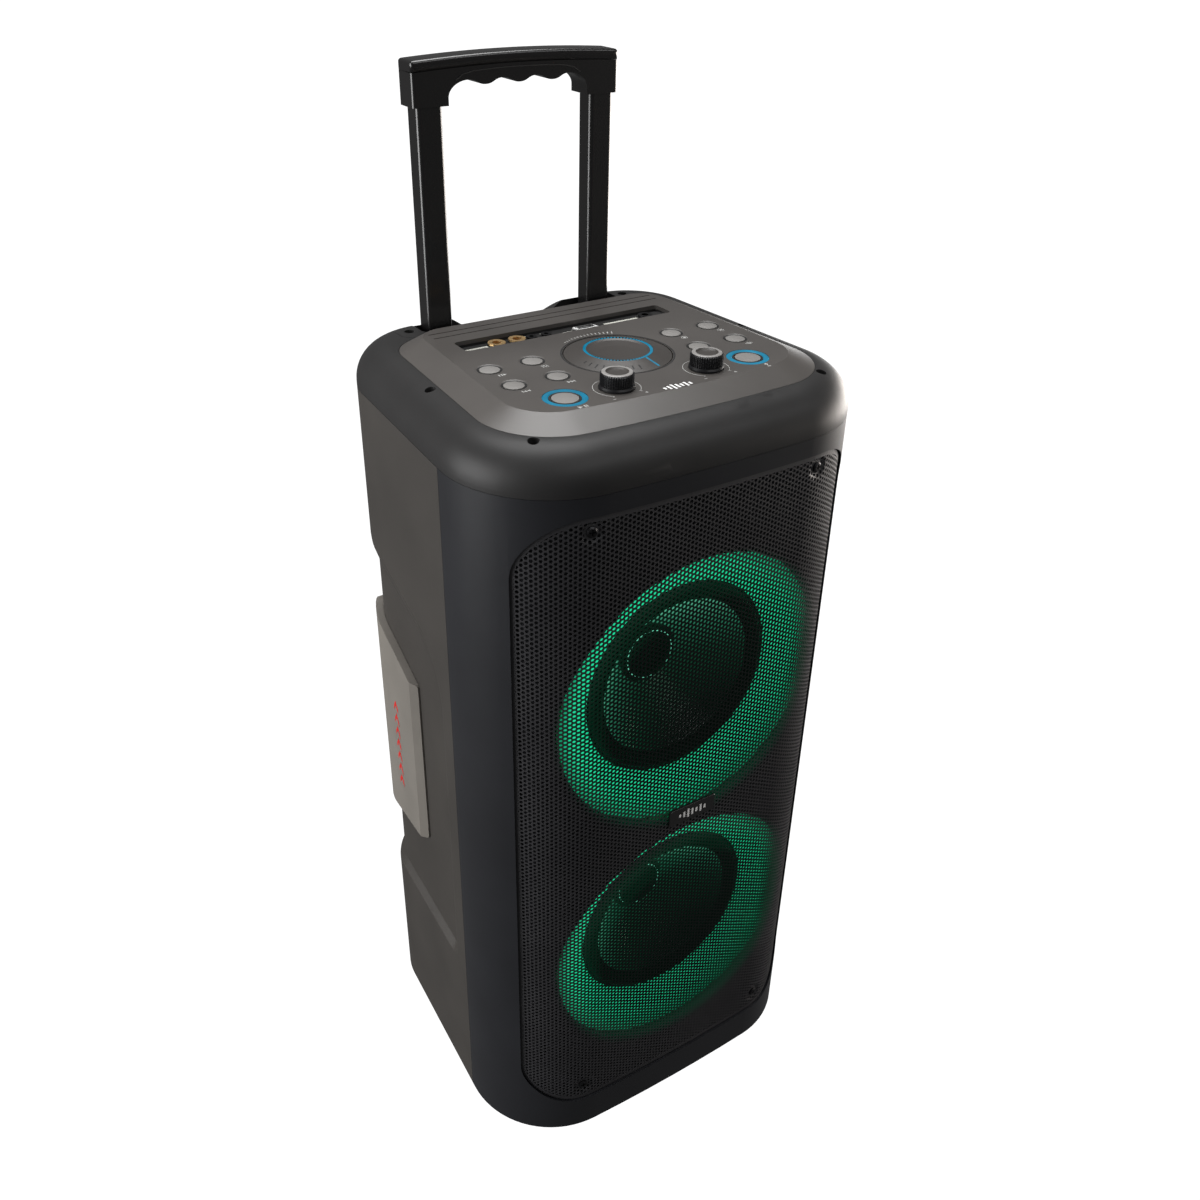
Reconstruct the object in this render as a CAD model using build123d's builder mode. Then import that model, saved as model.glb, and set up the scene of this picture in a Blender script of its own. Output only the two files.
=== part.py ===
from build123d import *
import math
import os

# Trolley party speaker: a tall ported cabinet with two lit woofers behind one curved grille,
# a raised control panel in a rounded cap, and a telescopic pull handle over two wheels.
# Millimetres. The grille faces -Y, +X is to its viewer's right, +Z is up, and z = 0 is the
# floor under the wheels and the front feet.

os.makedirs("parts", exist_ok=True)

# ---------------------------------------------------------------- cabinet
half_width = 157.0            # half the width where the front corners meet the sides
widest_y = -64.5              # where that width is measured
side_taper = 4.0              # degrees that each side closes in towards the back
front_y = -150.0
rear_y = 139.5
front_bow = 7.3               # how far the front stands out between its corners
front_corner = 78.0
rear_corner = 62.0
wall = 3.0
cabinet_bottom = 9.0
cap_seam = 616.0
cap_top = 646.0
cap_round = 27.0
seam_gap = 0.3
side_seam = -60.0             # joint between the front frame and the rear shell
shell_top = cap_seam - seam_gap

# side recess that runs back from the seam and round both rear corners
recess_depth = 5.0
recess_front = -44.0
recess_ramp = 12.0            # length of the slope at its front
recess_slope = 13.5           # degrees that its top edge climbs towards the back
recess_top = 470.0            # height of the top edge at y = 0
recess_top_band = 24.0
recess_bottom = 149.0
recess_bottom_band = 11.0
recess_bend = 62.0            # radius of its upper front corner
recess_foot_bend = 16.0       # and of its lower one
# share of the depth that each share of a slope's length has reached
soft_step = ((0.0, 0.0), (0.22, 0.08), (0.5, 0.5), (0.78, 0.92), (1.0, 1.0))

# bumper plates in the side recesses
plate_front = 18.0
plate_back = 122.0
plate_low = (236.5, 225.0)    # height of the lower edge at the front and at the back
plate_high = (394.0, 429.0)   # and of the upper edge
plate_proud = 1.4
plate_gap = 0.2               # between a plate and the recess, except at its pads
plate_bevel = (5.0, 7.0, 11.5)    # depth, width down the front edge, width along the top edge

# ---------------------------------------------------------------- grille
grille_half_width = 139.5
grille_bottom = 40.0
grille_top = 602.0
grille_middle = (grille_top + grille_bottom) / 2
grille_corner = 45.0
grille_inset = 2.2
grille_thickness = 1.2
grille_gap = 0.8
pocket_depth = 5.0
dimple_radius = 7.0
badge_size = (43.0, 15.0)
badge_z = 324.0

# ---------------------------------------------------------------- woofers, on a 12 mm baffle
woofer_z = {"upper": 432.2, "lower": 192.1}
baffle_front = -116.0
baffle_thickness = 12.0
baffle_half_width = 126.0
baffle_hole = 75.0
woofer_flange = 82.5
surround_outer = 80.0
cone_rim = 66.0
cone_neck = 27.0
cone_bottom = -37.0           # behind the baffle's front
dust_cap = 25.0
dust_cap_rise = 8.0
voice_coil = 19.0
roll_radius = 5.6             # half-roll of the rubber surround
ring_outer = 113.0
ring_inner = 80.8
ring_foot = 84.0              # inner radius of the foot that stands on the baffle
ring_rise = (4.6, 21.5)       # height of the lit funnel above the baffle, inside and outside

# ---------------------------------------------------------------- control panel
panel_inset = 25.5
plateau_inset = 44.5
panel_corner = (32.0, 20.0)   # rear corners of the panel and of its raised plateau
panel_top = 654.0
panel_sheet = 3.0
panel_back = 90.2
plateau_back = 80.0
sheet_under = panel_top - panel_sheet
volume_centre = (0.0, -30.5)
volume_radius = 38.0
volume_well = 650.4
knob_rise = 3.6               # of the volume knob above the panel
ring_edge = 24.5
tone_knobs = {"bass": (-36.5, -84.0), "treble": (36.5, -84.0)}
tone_radius = 12.2
tone_height = 11.0
stem_radius = 3.0
button_radius = 7.0
lit_button_radius = 9.0
lit_ring_outer = 15.0
lit_ring_inner = 11.0
button_fit = 0.35
button_travel = 1.3
button_crown = 0.8
small_buttons = {
    "mode_button": (-92.0, -13.0),
    "equaliser_button": (-58.7, -13.0),
    "previous_button": (-92.0, -46.2),
    "next_button": (-58.7, -46.2),
    "record_button": (58.7, -13.0),
    "lights_button": (92.0, -13.0),
    "echo_button": (58.7, -46.2),
    "voice_button": (92.0, -46.2),
}
lit_buttons = {"play_button": (-74.7, -81.8), "microphone_button": (74.7, -81.8)}
board_top = 640.0
board_thickness = 1.6
switch_top = 644.2
trough_x = (-89.0, 87.0)
trough_y = (26.3, 46.6)
trough_floor = (651.8, 649.2)     # height at the front and at the back of the trough
socket_y = 36.0
microphone_x = (-59.7, -43.0)
line_x = (-31.0, -18.5)
usb_x = 15.4
power_x = 69.5
microphone_bore = 3.25
power_bore = 2.8

# ---------------------------------------------------------------- pull handle
cover_half_width = 105.5
cover_front = 90.5
well_half_width = 87.0
well_y = (98.5, 126.5)
well_floor = 613.5
finger_cut = (20.0, 62.0, 627.0)  # half width at its floor and at its top, height of the floor
pole_x = 70.4
pole_y = 111.5
pole_size = (20.0, 17.0)
pole_corner = 3.0
pole_wall = 1.5
pole_bottom = 543.0
shoe_height = 16.5
guide_bottom = 343.0
guide_fit = 0.3
grip_half_width = 83.5
grip_bottom = 801.0
grip_end_top = 830.6
grip_mid_top = 833.5
grip_lid = 7.0
grip_y = (101.5, 123.5)
grip_leg = 56.5
grip_leg_top = 806.0          # where the leg's straight inner face ends
socket_depth = 14.0           # of the poles in the grip
lid_gap = 0.4
finger_crest = 813.3
finger_dip = 816.9
finger_pitch = 13.6

# ---------------------------------------------------------------- wheels and feet
wheel_radius = 32.0
wheel_y = 118.0
wheel_x = (82.0, 108.0)
axle_radius = 4.0
axle_fit = 0.05
wheel_well_x = (78.0, 112.0)
wheel_well_front = 83.5
wheel_well_top = 67.5
well_wall = 2.5

# ---------------------------------------------------------------- back
port_z = 400.0
port_bore = 31.0
port_length = 90.0
inlet_z = 92.0

# ---------------------------------------------------------------- fasteners
screw_shank = 1.5
grille_screw_x = 93.5
grille_screw_z = (56.5, 590.2)
grille_screws_at = [(s * grille_screw_x, z) for s in (-1, 1) for z in grille_screw_z]
cap_screws_at = [(s * x, y) for s in (-1, 1) for x, y in ((95.5, 106.0), (132.6, -4.9), (116.3, -112.9))]
cap_screw_well = 3.8
cap_screw_floor = 637.0
baffle_posts = [(s * x, z) for s in (-1, 1) for x, z in ((60.0, 587.0), (104.0, 312.0), (60.0, 56.0))]
post_radius = 6.0


# ================================================================ helpers
def side_x(y, inset=0.0):
    """Half width of the cabinet at y, moved in by inset."""
    taper = math.radians(side_taper)
    return half_width - math.tan(taper) * (y - widest_y) - inset / math.cos(taper)


def corner_centre():
    """Centre of the rounding between the bowed front and a side."""
    bow_half = side_x(front_y + front_bow)
    bow_radius = (bow_half**2 + front_bow**2) / (2 * front_bow)
    y = widest_y
    for _ in range(6):
        x = side_x(y, front_corner)
        y = front_y + bow_radius - math.sqrt((bow_radius - front_corner) ** 2 - x**2)
    return x, y


def plan_outline(inset=0.0, back_y=None, back_radius=None, start_y=None):
    """Cabinet plan moved in by inset: bowed front, tapering sides, rounded corners.

    With start_y the plan has no bowed front: it starts square at that y.
    """
    back = rear_y - inset if back_y is None else back_y
    radius = rear_corner - inset if back_radius is None else back_radius
    corner_y = front_y + inset + front_bow if start_y is None else start_y
    left = (-side_x(corner_y, inset), corner_y)
    right = (side_x(corner_y, inset), corner_y)
    with BuildSketch() as plan:
        with BuildLine():
            if start_y is None:
                ThreePointArc(left, (0, front_y + inset), right)
            else:
                Line(left, right)
            Polyline(right, (side_x(back, inset), back), (-side_x(back, inset), back), left)
        make_face()
        fillet(plan.vertices().group_by(Axis.Y)[-1], radius)
        if start_y is None:
            fillet(plan.vertices().group_by(Axis.Y)[0], front_corner - inset)
    return plan.sketch


def prism(outline, low, high):
    """The outline carried straight up from low to high."""
    with BuildPart() as made:
        with BuildSketch(Plane.XY.offset(low)):
            add(outline)
        extrude(amount=high - low)
    return made.part


def turned(profile):
    """Body of revolution about +Z from a closed profile of (radius, height) points."""
    with BuildPart() as made:
        with BuildSketch(Plane.XZ):
            with BuildLine():
                Polyline(*profile, close=True)
            make_face()
        revolve(axis=Axis.Z)
    return made.part


def block(low, high):
    """A plain block between two opposite corners, used as a cutter, a region or a brick."""
    size = [high[i] - low[i] for i in range(3)]
    centre = [(high[i] + low[i]) / 2 for i in range(3)]
    return Pos(*centre) * Box(*size, mode=Mode.PRIVATE)


def tube(radius, low, high, x=0.0, y=0.0):
    """An upright cylinder from low to high."""
    return Pos(x, y, (low + high) / 2) * Cylinder(radius, high - low, mode=Mode.PRIVATE)


def screw(head_radius, head_height, shank_radius, length):
    """Pan-head screw along +Z with a cross recess; its head's underside is at the origin."""
    with BuildPart() as made:
        with BuildSketch(Plane.XZ):
            with BuildLine():
                Polyline(
                    (0, -length),
                    (shank_radius * 0.4, -length),
                    (shank_radius, -length + shank_radius),
                    (shank_radius, 0),
                    (head_radius, 0),
                    (head_radius, head_height * 0.5),
                    (head_radius * 0.7, head_height),
                    (0, head_height),
                    close=True,
                )
            make_face()
        revolve(axis=Axis.Z)
        with BuildSketch(Plane.XY.offset(head_height)):
            Rectangle(head_radius * 1.1, head_radius * 0.26)
            Rectangle(head_radius * 0.26, head_radius * 1.1)
        extrude(amount=-head_height * 0.6, mode=Mode.SUBTRACT)
    return made.part


def crown(radius, edge, top):
    """Arc of a shallow dome, from its rim at (radius, edge) to the axis at top."""
    rise = top - edge
    curve = (radius**2 + rise**2) / (2 * rise)
    middle = top - curve + math.sqrt(curve**2 - radius**2 / 4)
    return ThreePointArc((radius, edge), (radius / 2, middle), (0, top))


def gather(pieces):
    """Several separate solids of one kind as one part."""
    with BuildPart() as made:
        for piece in pieces:
            add(piece)
    return made.part


def save(part, name):
    """Label one finished piece and write it as its own STEP file."""
    part.label = name
    export_step(part, f"parts/{name}.step")


def front_window(margin):
    """Rounded grille outline seen from the front, carried back past the front corners."""
    with BuildPart() as window:
        with BuildSketch(Plane.XZ.offset(-front_y + 10)):
            with Locations((0, grille_middle)):
                RectangleRounded(
                    2 * (grille_half_width + margin),
                    grille_top - grille_bottom + 2 * margin,
                    grille_corner + margin,
                )
        extrude(amount=-70)
    return window.part


def at_grille(x, z, inset):
    """Plane on the rounded front corner at inset, facing out along the normal through x, z."""
    centre_x, centre_y = corner_centre()
    radius = front_corner - inset
    tilt = math.asin((abs(x) - centre_x) / front_corner)
    across = math.copysign(centre_x + radius * math.sin(tilt), x)
    origin = (across, centre_y - radius * math.cos(tilt), z)
    normal = (math.copysign(math.sin(tilt), x), -math.cos(tilt), 0)
    return Plane(origin=origin, x_dir=(0, 0, 1), z_dir=normal)


def at_woofer(z):
    """Plane at a woofer's centre, on the baffle's front, facing out of the grille."""
    return Plane(origin=(0, baffle_front, z), x_dir=(1, 0, 0), z_dir=(0, -1, 0))


def trough_z(y):
    """Height of the socket trough's sloping floor at y."""
    share = (y - trough_y[0]) / (trough_y[1] - trough_y[0])
    return trough_floor[0] + share * (trough_floor[1] - trough_floor[0])


def rounded_post(width, depth, corner, low, high, x, y):
    """An upright bar of rounded rectangular section."""
    with BuildPart() as made:
        with BuildSketch(Plane.XY.offset(low)):
            with Locations((x, y)):
                RectangleRounded(width, depth, corner)
        extrude(amount=high - low)
    return made.part


# ================================================================ shared forms
form_outer = prism(plan_outline(), cabinet_bottom, shell_top)
form_wall = prism(plan_outline(wall), cabinet_bottom, shell_top)
form_pocket = prism(plan_outline(pocket_depth), cabinet_bottom, shell_top)
form_floor = prism(plan_outline(pocket_depth + wall), cabinet_bottom, shell_top)

with BuildPart() as cap_form:
    add(prism(plan_outline(), cap_seam, cap_top))
    fillet(cap_form.faces().sort_by(Axis.Z)[-1].edges(), cap_round)

with BuildPart() as cap_core:
    add(prism(plan_outline(wall), cap_seam, cap_top - wall))
    fillet(cap_core.faces().sort_by(Axis.Z)[-1].edges(), cap_round - wall)

# ================================================================ front frame
with BuildPart() as frame_skin:
    add(form_outer)
    add(form_wall, mode=Mode.SUBTRACT)
    add(block((-200, -200, 0), (200, side_seam - seam_gap, 700)), mode=Mode.INTERSECT)

with BuildPart() as grille_pocket:
    add(front_window(0))
    add(form_pocket, mode=Mode.SUBTRACT)

with BuildPart() as front_frame:
    add(form_outer)
    add(form_floor, mode=Mode.SUBTRACT)
    add(front_window(wall), mode=Mode.INTERSECT)
    add(frame_skin.part)
    # posts that carry the baffle, cut off by the pocket's floor
    for x, z in baffle_posts:
        with BuildSketch(Plane.XZ.offset(-baffle_front)):
            with Locations((x, z)):
                Circle(post_radius)
        extrude(amount=baffle_front - front_y - pocket_depth)
    add(grille_pocket.part, mode=Mode.SUBTRACT)
    for z in woofer_z.values():
        with Locations(at_woofer(z)):
            Cylinder(ring_outer + 0.5, 100, mode=Mode.SUBTRACT)
    for x, z in grille_screws_at:
        with BuildSketch(at_grille(x, z, pocket_depth)):
            Circle(screw_shank)
        extrude(amount=-12, mode=Mode.SUBTRACT)
save(front_frame.part, "front_frame")

# ================================================================ grille
dimple = turned(
    [
        (screw_shank, 0),
        (5.0, 0),
        (dimple_radius, 1.6),
        (dimple_radius, 2.8),
        (4.4, grille_thickness),
        (screw_shank, grille_thickness),
    ]
)
with BuildPart() as speaker_grille:
    add(prism(plan_outline(grille_inset), grille_bottom, grille_top))
    add(
        prism(plan_outline(grille_inset + grille_thickness), grille_bottom, grille_top),
        mode=Mode.SUBTRACT,
    )
    add(front_window(-grille_gap), mode=Mode.INTERSECT)
    # dimples bring the sheet back to the frame, with the screw holes in their floors
    for x, z in grille_screws_at:
        with BuildSketch(at_grille(x, z, 0)):
            Circle(dimple_radius - 0.3)
        extrude(amount=-6, mode=Mode.SUBTRACT)
        add(at_grille(x, z, pocket_depth).location * dimple)
save(speaker_grille.part, "speaker_grille")

grille_screw = screw(3.9, 1.8, screw_shank, 9)
seat = pocket_depth - grille_thickness
save(gather(at_grille(x, z, seat).location * grille_screw for x, z in grille_screws_at), "grille_screws")

with BuildPart() as grille_badge:
    with BuildSketch(Plane.XZ.offset(-front_y - grille_inset)):
        with Locations((0, badge_z)):
            RectangleRounded(*badge_size, 1.5)
    extrude(amount=1.7)
    chamfer(grille_badge.faces().sort_by(Axis.Y)[0].edges(), 0.5)
save(grille_badge.part, "grille_badge")

# ================================================================ baffle and woofers
with BuildPart() as baffle:
    with BuildSketch(Plane.XZ.offset(-baffle_front)):
        with Locations((0, grille_middle)):
            RectangleRounded(2 * baffle_half_width, grille_top - grille_bottom - 10, 30)
    extrude(amount=-baffle_thickness)
    for z in woofer_z.values():
        with Locations(at_woofer(z)):
            Cylinder(baffle_hole, 60, mode=Mode.SUBTRACT)
save(baffle.part, "baffle")

ring_form = turned(
    [
        (ring_foot, 0),
        (ring_foot + 6, 0),
        (ring_foot + 6, ring_rise[0] - 1.4),
        (ring_outer, ring_rise[1] - 0.8),
        (ring_outer, ring_rise[1]),
        (ring_outer - 2.8, ring_rise[1]),
        (ring_inner, ring_rise[0] + 0.8),
        (ring_inner, ring_rise[0]),
        (ring_foot, ring_rise[0]),
    ]
)
with BuildPart() as light_rings:
    add(gather(at_woofer(z).location * ring_form for z in woofer_z.values()))
    add(prism(plan_outline(pocket_depth - grille_gap), 20, shell_top), mode=Mode.INTERSECT)
save(light_rings.part, "light_rings")

with BuildPart() as led_form:
    add(turned([(94, 0), (110, 0), (110, 1.6), (94, 1.6)]))
    with PolarLocations(101, 24):
        Box(5, 5, 3, align=(Align.CENTER, Align.CENTER, Align.MIN))
save(gather(at_woofer(z).location * led_form.part for z in woofer_z.values()), "led_boards")

with BuildPart() as basket_form:
    add(
        turned(
            [
                (woofer_flange, 0),
                (woofer_flange, 3),
                (72, 3),
                (72, -3),
                (45, -47),
                (26, -47),
                (26, -50),
                (47, -50),
                (74.4, -4),
                (74.4, 0),
            ]
        )
    )
    # windows between the six spokes
    with PolarLocations(57, 6):
        Cylinder(11, 110, mode=Mode.SUBTRACT)
save(gather(at_woofer(z).location * basket_form.part for z in woofer_z.values()), "woofer_baskets")

magnet_form = turned(
    [
        (0, -53),
        (voice_coil - 2, -53),
        (voice_coil - 2, -70),
        (voice_coil + 2.5, -70),
        (voice_coil + 2.5, -50),
        (45, -50),
        (45, -75),
        (0, -75),
    ]
)
save(gather(at_woofer(z).location * magnet_form for z in woofer_z.values()), "woofer_magnets")

roll_centre = (surround_outer + cone_rim) / 2
lip_offset = roll_radius + 0.8
with BuildPart() as surround_form:
    # half-roll of rubber between the basket's flange and the cone
    with BuildSketch(Plane.XZ):
        with Locations((roll_centre, 3)):
            Circle(roll_radius)
            Circle(roll_radius - 1.2, mode=Mode.SUBTRACT)
        with Locations((roll_centre, -7)):
            Rectangle(40, 20, mode=Mode.SUBTRACT)
        with Locations((roll_centre + lip_offset, 3.6), (roll_centre - lip_offset, 3.6)):
            Rectangle(3.2, 1.2)
    revolve(axis=Axis.Z)

neck_front = cone_bottom + 1.4
cone_form = turned(
    [
        (cone_neck, cone_bottom),
        (cone_rim - 1, 1.8),
        (cone_rim + 2, 1.8),
        (cone_rim + 2, 3),
        (cone_rim - 1.8, 3),
        (cone_neck - 1, neck_front),
        (voice_coil - 0.8, neck_front),
        (voice_coil - 0.8, cone_bottom - 27),
        (voice_coil, cone_bottom - 27),
        (voice_coil, cone_bottom),
    ]
)
with BuildPart() as dust_cap_form:
    with BuildSketch(Plane.XZ):
        with BuildLine():
            cap_crown = neck_front + dust_cap_rise
            crown(dust_cap - 1, neck_front, cap_crown)
            Line((0, cap_crown), (0, cap_crown + 1.2))
            crown(dust_cap, neck_front + 1.2, cap_crown + 1.2)
            Polyline((dust_cap, neck_front + 1.2), (dust_cap, neck_front), (dust_cap - 1, neck_front))
        make_face()
    revolve(axis=Axis.Z)

for name, z in woofer_z.items():
    save(gather([at_woofer(z).location * surround_form.part]), f"surround_{name}")
    save(gather([at_woofer(z).location * cone_form]), f"cone_{name}")
    save(gather([at_woofer(z).location * dust_cap_form.part]), f"dust_cap_{name}")


# ================================================================ rear shell
def level(height, tilt=0.0):
    """Plane through (0, 0, height) that climbs towards the back by tilt degrees."""
    return Plane(origin=(0, 0, height), x_dir=(1, 0, 0)).rotated((tilt, 0, 0))


def between(solid, lower, upper):
    """The stretch of the solid that lies above one plane and below another."""
    return split(split(solid, bisect_by=lower, keep=Keep.TOP), bisect_by=upper, keep=Keep.BOTTOM)


def back_prism(inset):
    """Everything behind the side seam, moved in by inset."""
    return prism(plan_outline(inset, start_y=side_seam), cabinet_bottom, shell_top)


def recess_corner(inset, depth, run, top):
    """Full-depth region round a front corner of the right recess, on the side's own plane.

    The sketch's x runs back along the side and its y runs up. Its outline is moved into the
    recess by run, and rounded; top says which of the two corners it is.
    """
    taper = math.radians(side_taper)
    front = (recess_front + run * recess_ramp) / math.cos(taper)
    far = front + 110
    if top:
        climb = math.tan(math.radians(recess_slope)) * math.cos(taper)
        height = recess_top - run * recess_top_band
        bend = recess_bend - run * recess_ramp
        outer = 1
    else:
        climb = 0.0
        height = recess_bottom + run * recess_bottom_band
        bend = recess_foot_bend - run * recess_ramp
        outer = -1
    corner = (front, height + climb * front)
    side = Plane(
        origin=(side_x(0, inset + depth), 0, 0),
        x_dir=(-math.sin(taper), math.cos(taper), 0),
        z_dir=(math.cos(taper), math.sin(taper), 0),
    )
    with BuildSketch(side) as region:
        with BuildLine():
            Polyline(
                corner,
                (far, height + climb * far),
                (far, height + climb * far + 6 * outer),
                (recess_front - 6, height + climb * far + 6 * outer),
                (recess_front - 6, corner[1] - 80 * outer),
                (front, corner[1] - 80 * outer),
                close=True,
            )
        make_face()
        fillet(region.vertices().sort_by_distance((*corner, 0))[0], bend)
    return region.sketch


def recess_bends(inset):
    """Soft fillings of the front corners of both recesses."""
    with BuildPart() as made:
        for top in (True, False):
            rims = [recess_corner(inset, depth * recess_depth, run, top) for run, depth in soft_step]
            for rim, inner in zip(rims, rims[1:]):
                loft([rim.faces()[0], inner.faces()[0]], ruled=True)
        mirror(about=Plane.YZ)
    return made.part


def back_form(inset):
    """Cabinet behind the side seam, moved in by inset, with the recess round its back."""
    full = back_prism(inset)
    waist = back_prism(inset + recess_depth)
    # the full-width foot and shoulders, the waist, and the strip ahead of the recess
    foot = split(full, bisect_by=level(recess_bottom), keep=Keep.BOTTOM)
    shoulders = split(full, bisect_by=level(recess_top, recess_slope), keep=Keep.TOP)
    strip = split(full, bisect_by=Plane.XZ.offset(-recess_front), keep=Keep.TOP)
    middle = between(
        waist,
        level(recess_bottom + recess_bottom_band),
        level(recess_top - recess_top_band, recess_slope),
    )
    slopes = ((recess_bottom, recess_bottom_band, 0.0), (recess_top, -recess_top_band, recess_slope))
    steps = [(run, back_prism(inset + depth * recess_depth)) for run, depth in soft_step]
    with BuildPart() as made:
        for stretch in (foot, shoulders, strip, middle):
            add(stretch)
        for height, band, tilt in slopes:
            rims = [
                section(body, section_by=level(height + run * band, tilt), mode=Mode.PRIVATE).faces()[0]
                for run, body in steps
            ]
            for rim, inner in zip(rims, rims[1:]):
                loft([rim, inner], ruled=True)
        # slopes from the strip down into the recess
        for s in (-1, 1):
            slope = [(recess_front + run * recess_ramp, depth * recess_depth) for run, depth in soft_step]
            with BuildSketch(Plane.XY.offset(cabinet_bottom)):
                with BuildLine():
                    Polyline(
                        *[(s * side_x(y, inset + depth), y) for y, depth in slope],
                        (s * 100, recess_front + recess_ramp),
                        (s * 100, recess_front),
                        close=True,
                    )
                make_face()
            extrude(amount=shell_top - cabinet_bottom)
        add(recess_bends(inset))
    return made.part


back_outer = back_form(0.0)
back_inner = back_form(wall)

recessed_back = rear_y - recess_depth
back_spots = ((72.0, rear_y, 560.0), (72.0, recessed_back, 300.0), (50.0, rear_y, 30.0))
back_planes = [
    Plane(origin=(s * x, y, z), x_dir=(1, 0, 0), z_dir=(0, 1, 0)) for s in (-1, 1) for x, y, z in back_spots
]

tongue_back = side_seam + 5
with BuildPart() as seam_tongue:
    # strip behind the front frame's edge, so that the seam is not open to the inside
    add(prism(plan_outline(wall + 0.2), cabinet_bottom, shell_top))
    add(prism(plan_outline(wall + 2.2), cabinet_bottom, shell_top), mode=Mode.SUBTRACT)
    add(block((-200, side_seam - 7, 0), (200, tongue_back, 700)), mode=Mode.INTERSECT)

with BuildPart() as tongue_root:
    add(prism(plan_outline(wall - 1), cabinet_bottom, shell_top))
    add(prism(plan_outline(wall + 2.2), cabinet_bottom, shell_top), mode=Mode.SUBTRACT)
    add(block((-200, side_seam, 0), (200, tongue_back, 700)), mode=Mode.INTERSECT)

with BuildPart() as wheel_wells:
    for s in (-1, 1):
        low_x, high_x = sorted((s * (wheel_well_x[0] - well_wall), s * (wheel_well_x[1] + well_wall)))
        add(
            block(
                (low_x, wheel_well_front - well_wall, cabinet_bottom),
                (high_x, rear_y, wheel_well_top + well_wall),
            )
        )
    add(form_outer, mode=Mode.INTERSECT)

with BuildPart() as rear_shell:
    add(back_outer)
    add(back_inner, mode=Mode.SUBTRACT)
    add(seam_tongue.part)
    add(tongue_root.part)
    add(wheel_wells.part)
    for s in (-1, 1):
        low_x, high_x = sorted((s * wheel_well_x[0], s * wheel_well_x[1]))
        add(block((low_x, wheel_well_front, 0), (high_x, 200, wheel_well_top)), mode=Mode.SUBTRACT)
    with Locations((0, wheel_y, wheel_radius)):
        Cylinder(axle_radius, 260, rotation=(0, 90, 0), mode=Mode.SUBTRACT)
    # openings for the bass port and the mains inlet
    with Locations((0, rear_y, port_z)):
        Cylinder(port_bore + 2.5, 40, rotation=(90, 0, 0), mode=Mode.SUBTRACT)
    add(block((-14, rear_y - 20, inlet_z - 10), (14, rear_y + 5, inlet_z + 10)), mode=Mode.SUBTRACT)
    with Locations(*back_planes):
        Cylinder(screw_shank, 12, mode=Mode.SUBTRACT)
save(rear_shell.part, "rear_shell")

with BuildPart() as bottom_plate:
    add(prism(plan_outline(wall + 0.1), cabinet_bottom, cabinet_bottom + 3))
    for s in (-1, 1):
        edge = wheel_well_x[0] - well_wall - 0.1
        low_x, high_x = sorted((s * edge, s * 200))
        front = wheel_well_front - well_wall - 0.1
        add(block((low_x, front, 0), (high_x, 200, 20)), mode=Mode.SUBTRACT)
    add(seam_tongue.part, mode=Mode.SUBTRACT)
    add(tongue_root.part, mode=Mode.SUBTRACT)
save(bottom_plate.part, "bottom_plate")

# ================================================================ side plates
with BuildPart() as plate_skin:
    add(prism(plan_outline(-plate_proud), 200, 450))
    add(prism(plan_outline(recess_depth - plate_gap), 200, 450), mode=Mode.SUBTRACT)
with BuildPart() as plate_pads:
    add(prism(plan_outline(recess_depth - plate_gap), 255, 375))
    add(prism(plan_outline(recess_depth), 255, 375), mode=Mode.SUBTRACT)
    add(block((-200, 38, 250), (200, 66, 380)), mode=Mode.INTERSECT)
with BuildPart() as plate_window:
    with BuildSketch(Plane.YZ.offset(-200)) as plate_side:
        with BuildLine():
            Polyline(
                (plate_front, plate_low[0]),
                (plate_front, plate_high[0]),
                (plate_back, plate_high[1]),
                (plate_back, plate_low[1]),
                close=True,
            )
        make_face()
        fillet(plate_side.vertices().group_by(Axis.X)[-1], 12)
        fillet(plate_side.vertices().group_by(Axis.X)[0], 3)
    extrude(amount=400)
for name, s in (("left", -1), ("right", 1)):
    depth, front_width, top_width = plate_bevel
    climb = math.degrees(math.atan2(plate_high[1] - plate_high[0], plate_back - plate_front))
    with BuildPart() as side_plate:
        add(plate_skin.part)
        add(plate_window.part, mode=Mode.INTERSECT)
        add(plate_pads.part)
        add(block((min(0, s * 200), -200, 0), (max(0, s * 200), 200, 700)), mode=Mode.INTERSECT)
        # long bevel down its front edge
        with BuildSketch(Plane.XY.offset(200)):
            with BuildLine():
                Polyline(
                    (s * side_x(plate_front, depth - plate_proud), plate_front - 0.1),
                    (s * side_x(plate_front, -20), plate_front - 0.1),
                    (s * side_x(plate_front + front_width, -20), plate_front + front_width),
                    (s * side_x(plate_front + front_width, -plate_proud), plate_front + front_width),
                    close=True,
                )
            make_face()
        extrude(amount=300, mode=Mode.SUBTRACT)
        # and one along its top edge, which climbs towards the back
        with BuildSketch(Plane.XZ.offset(-plate_front + 30)):
            with BuildLine():
                Polyline(
                    (s * side_x(plate_front, depth - plate_proud), plate_high[0] + 0.1),
                    (s * side_x(plate_front, -plate_proud), plate_high[0] - top_width),
                    (s * side_x(plate_front, -20), plate_high[0] - top_width),
                    (s * side_x(plate_front, -20), plate_high[0] + 0.1),
                    close=True,
                )
            make_face()
        taper = math.radians(side_taper)
        climb_run = math.tan(math.radians(climb))
        extrude(amount=-180, dir=(-s * math.sin(taper), math.cos(taper), climb_run), mode=Mode.SUBTRACT)
    save(side_plate.part, f"side_plate_{name}")

# ================================================================ top cap
with BuildPart() as cover_region:
    with BuildSketch(Plane.XY.offset(cap_seam - 10)):
        with Locations((0, cover_front + 50)):
            RectangleRounded(2 * cover_half_width, 100, 12)
    extrude(amount=60)

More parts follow.
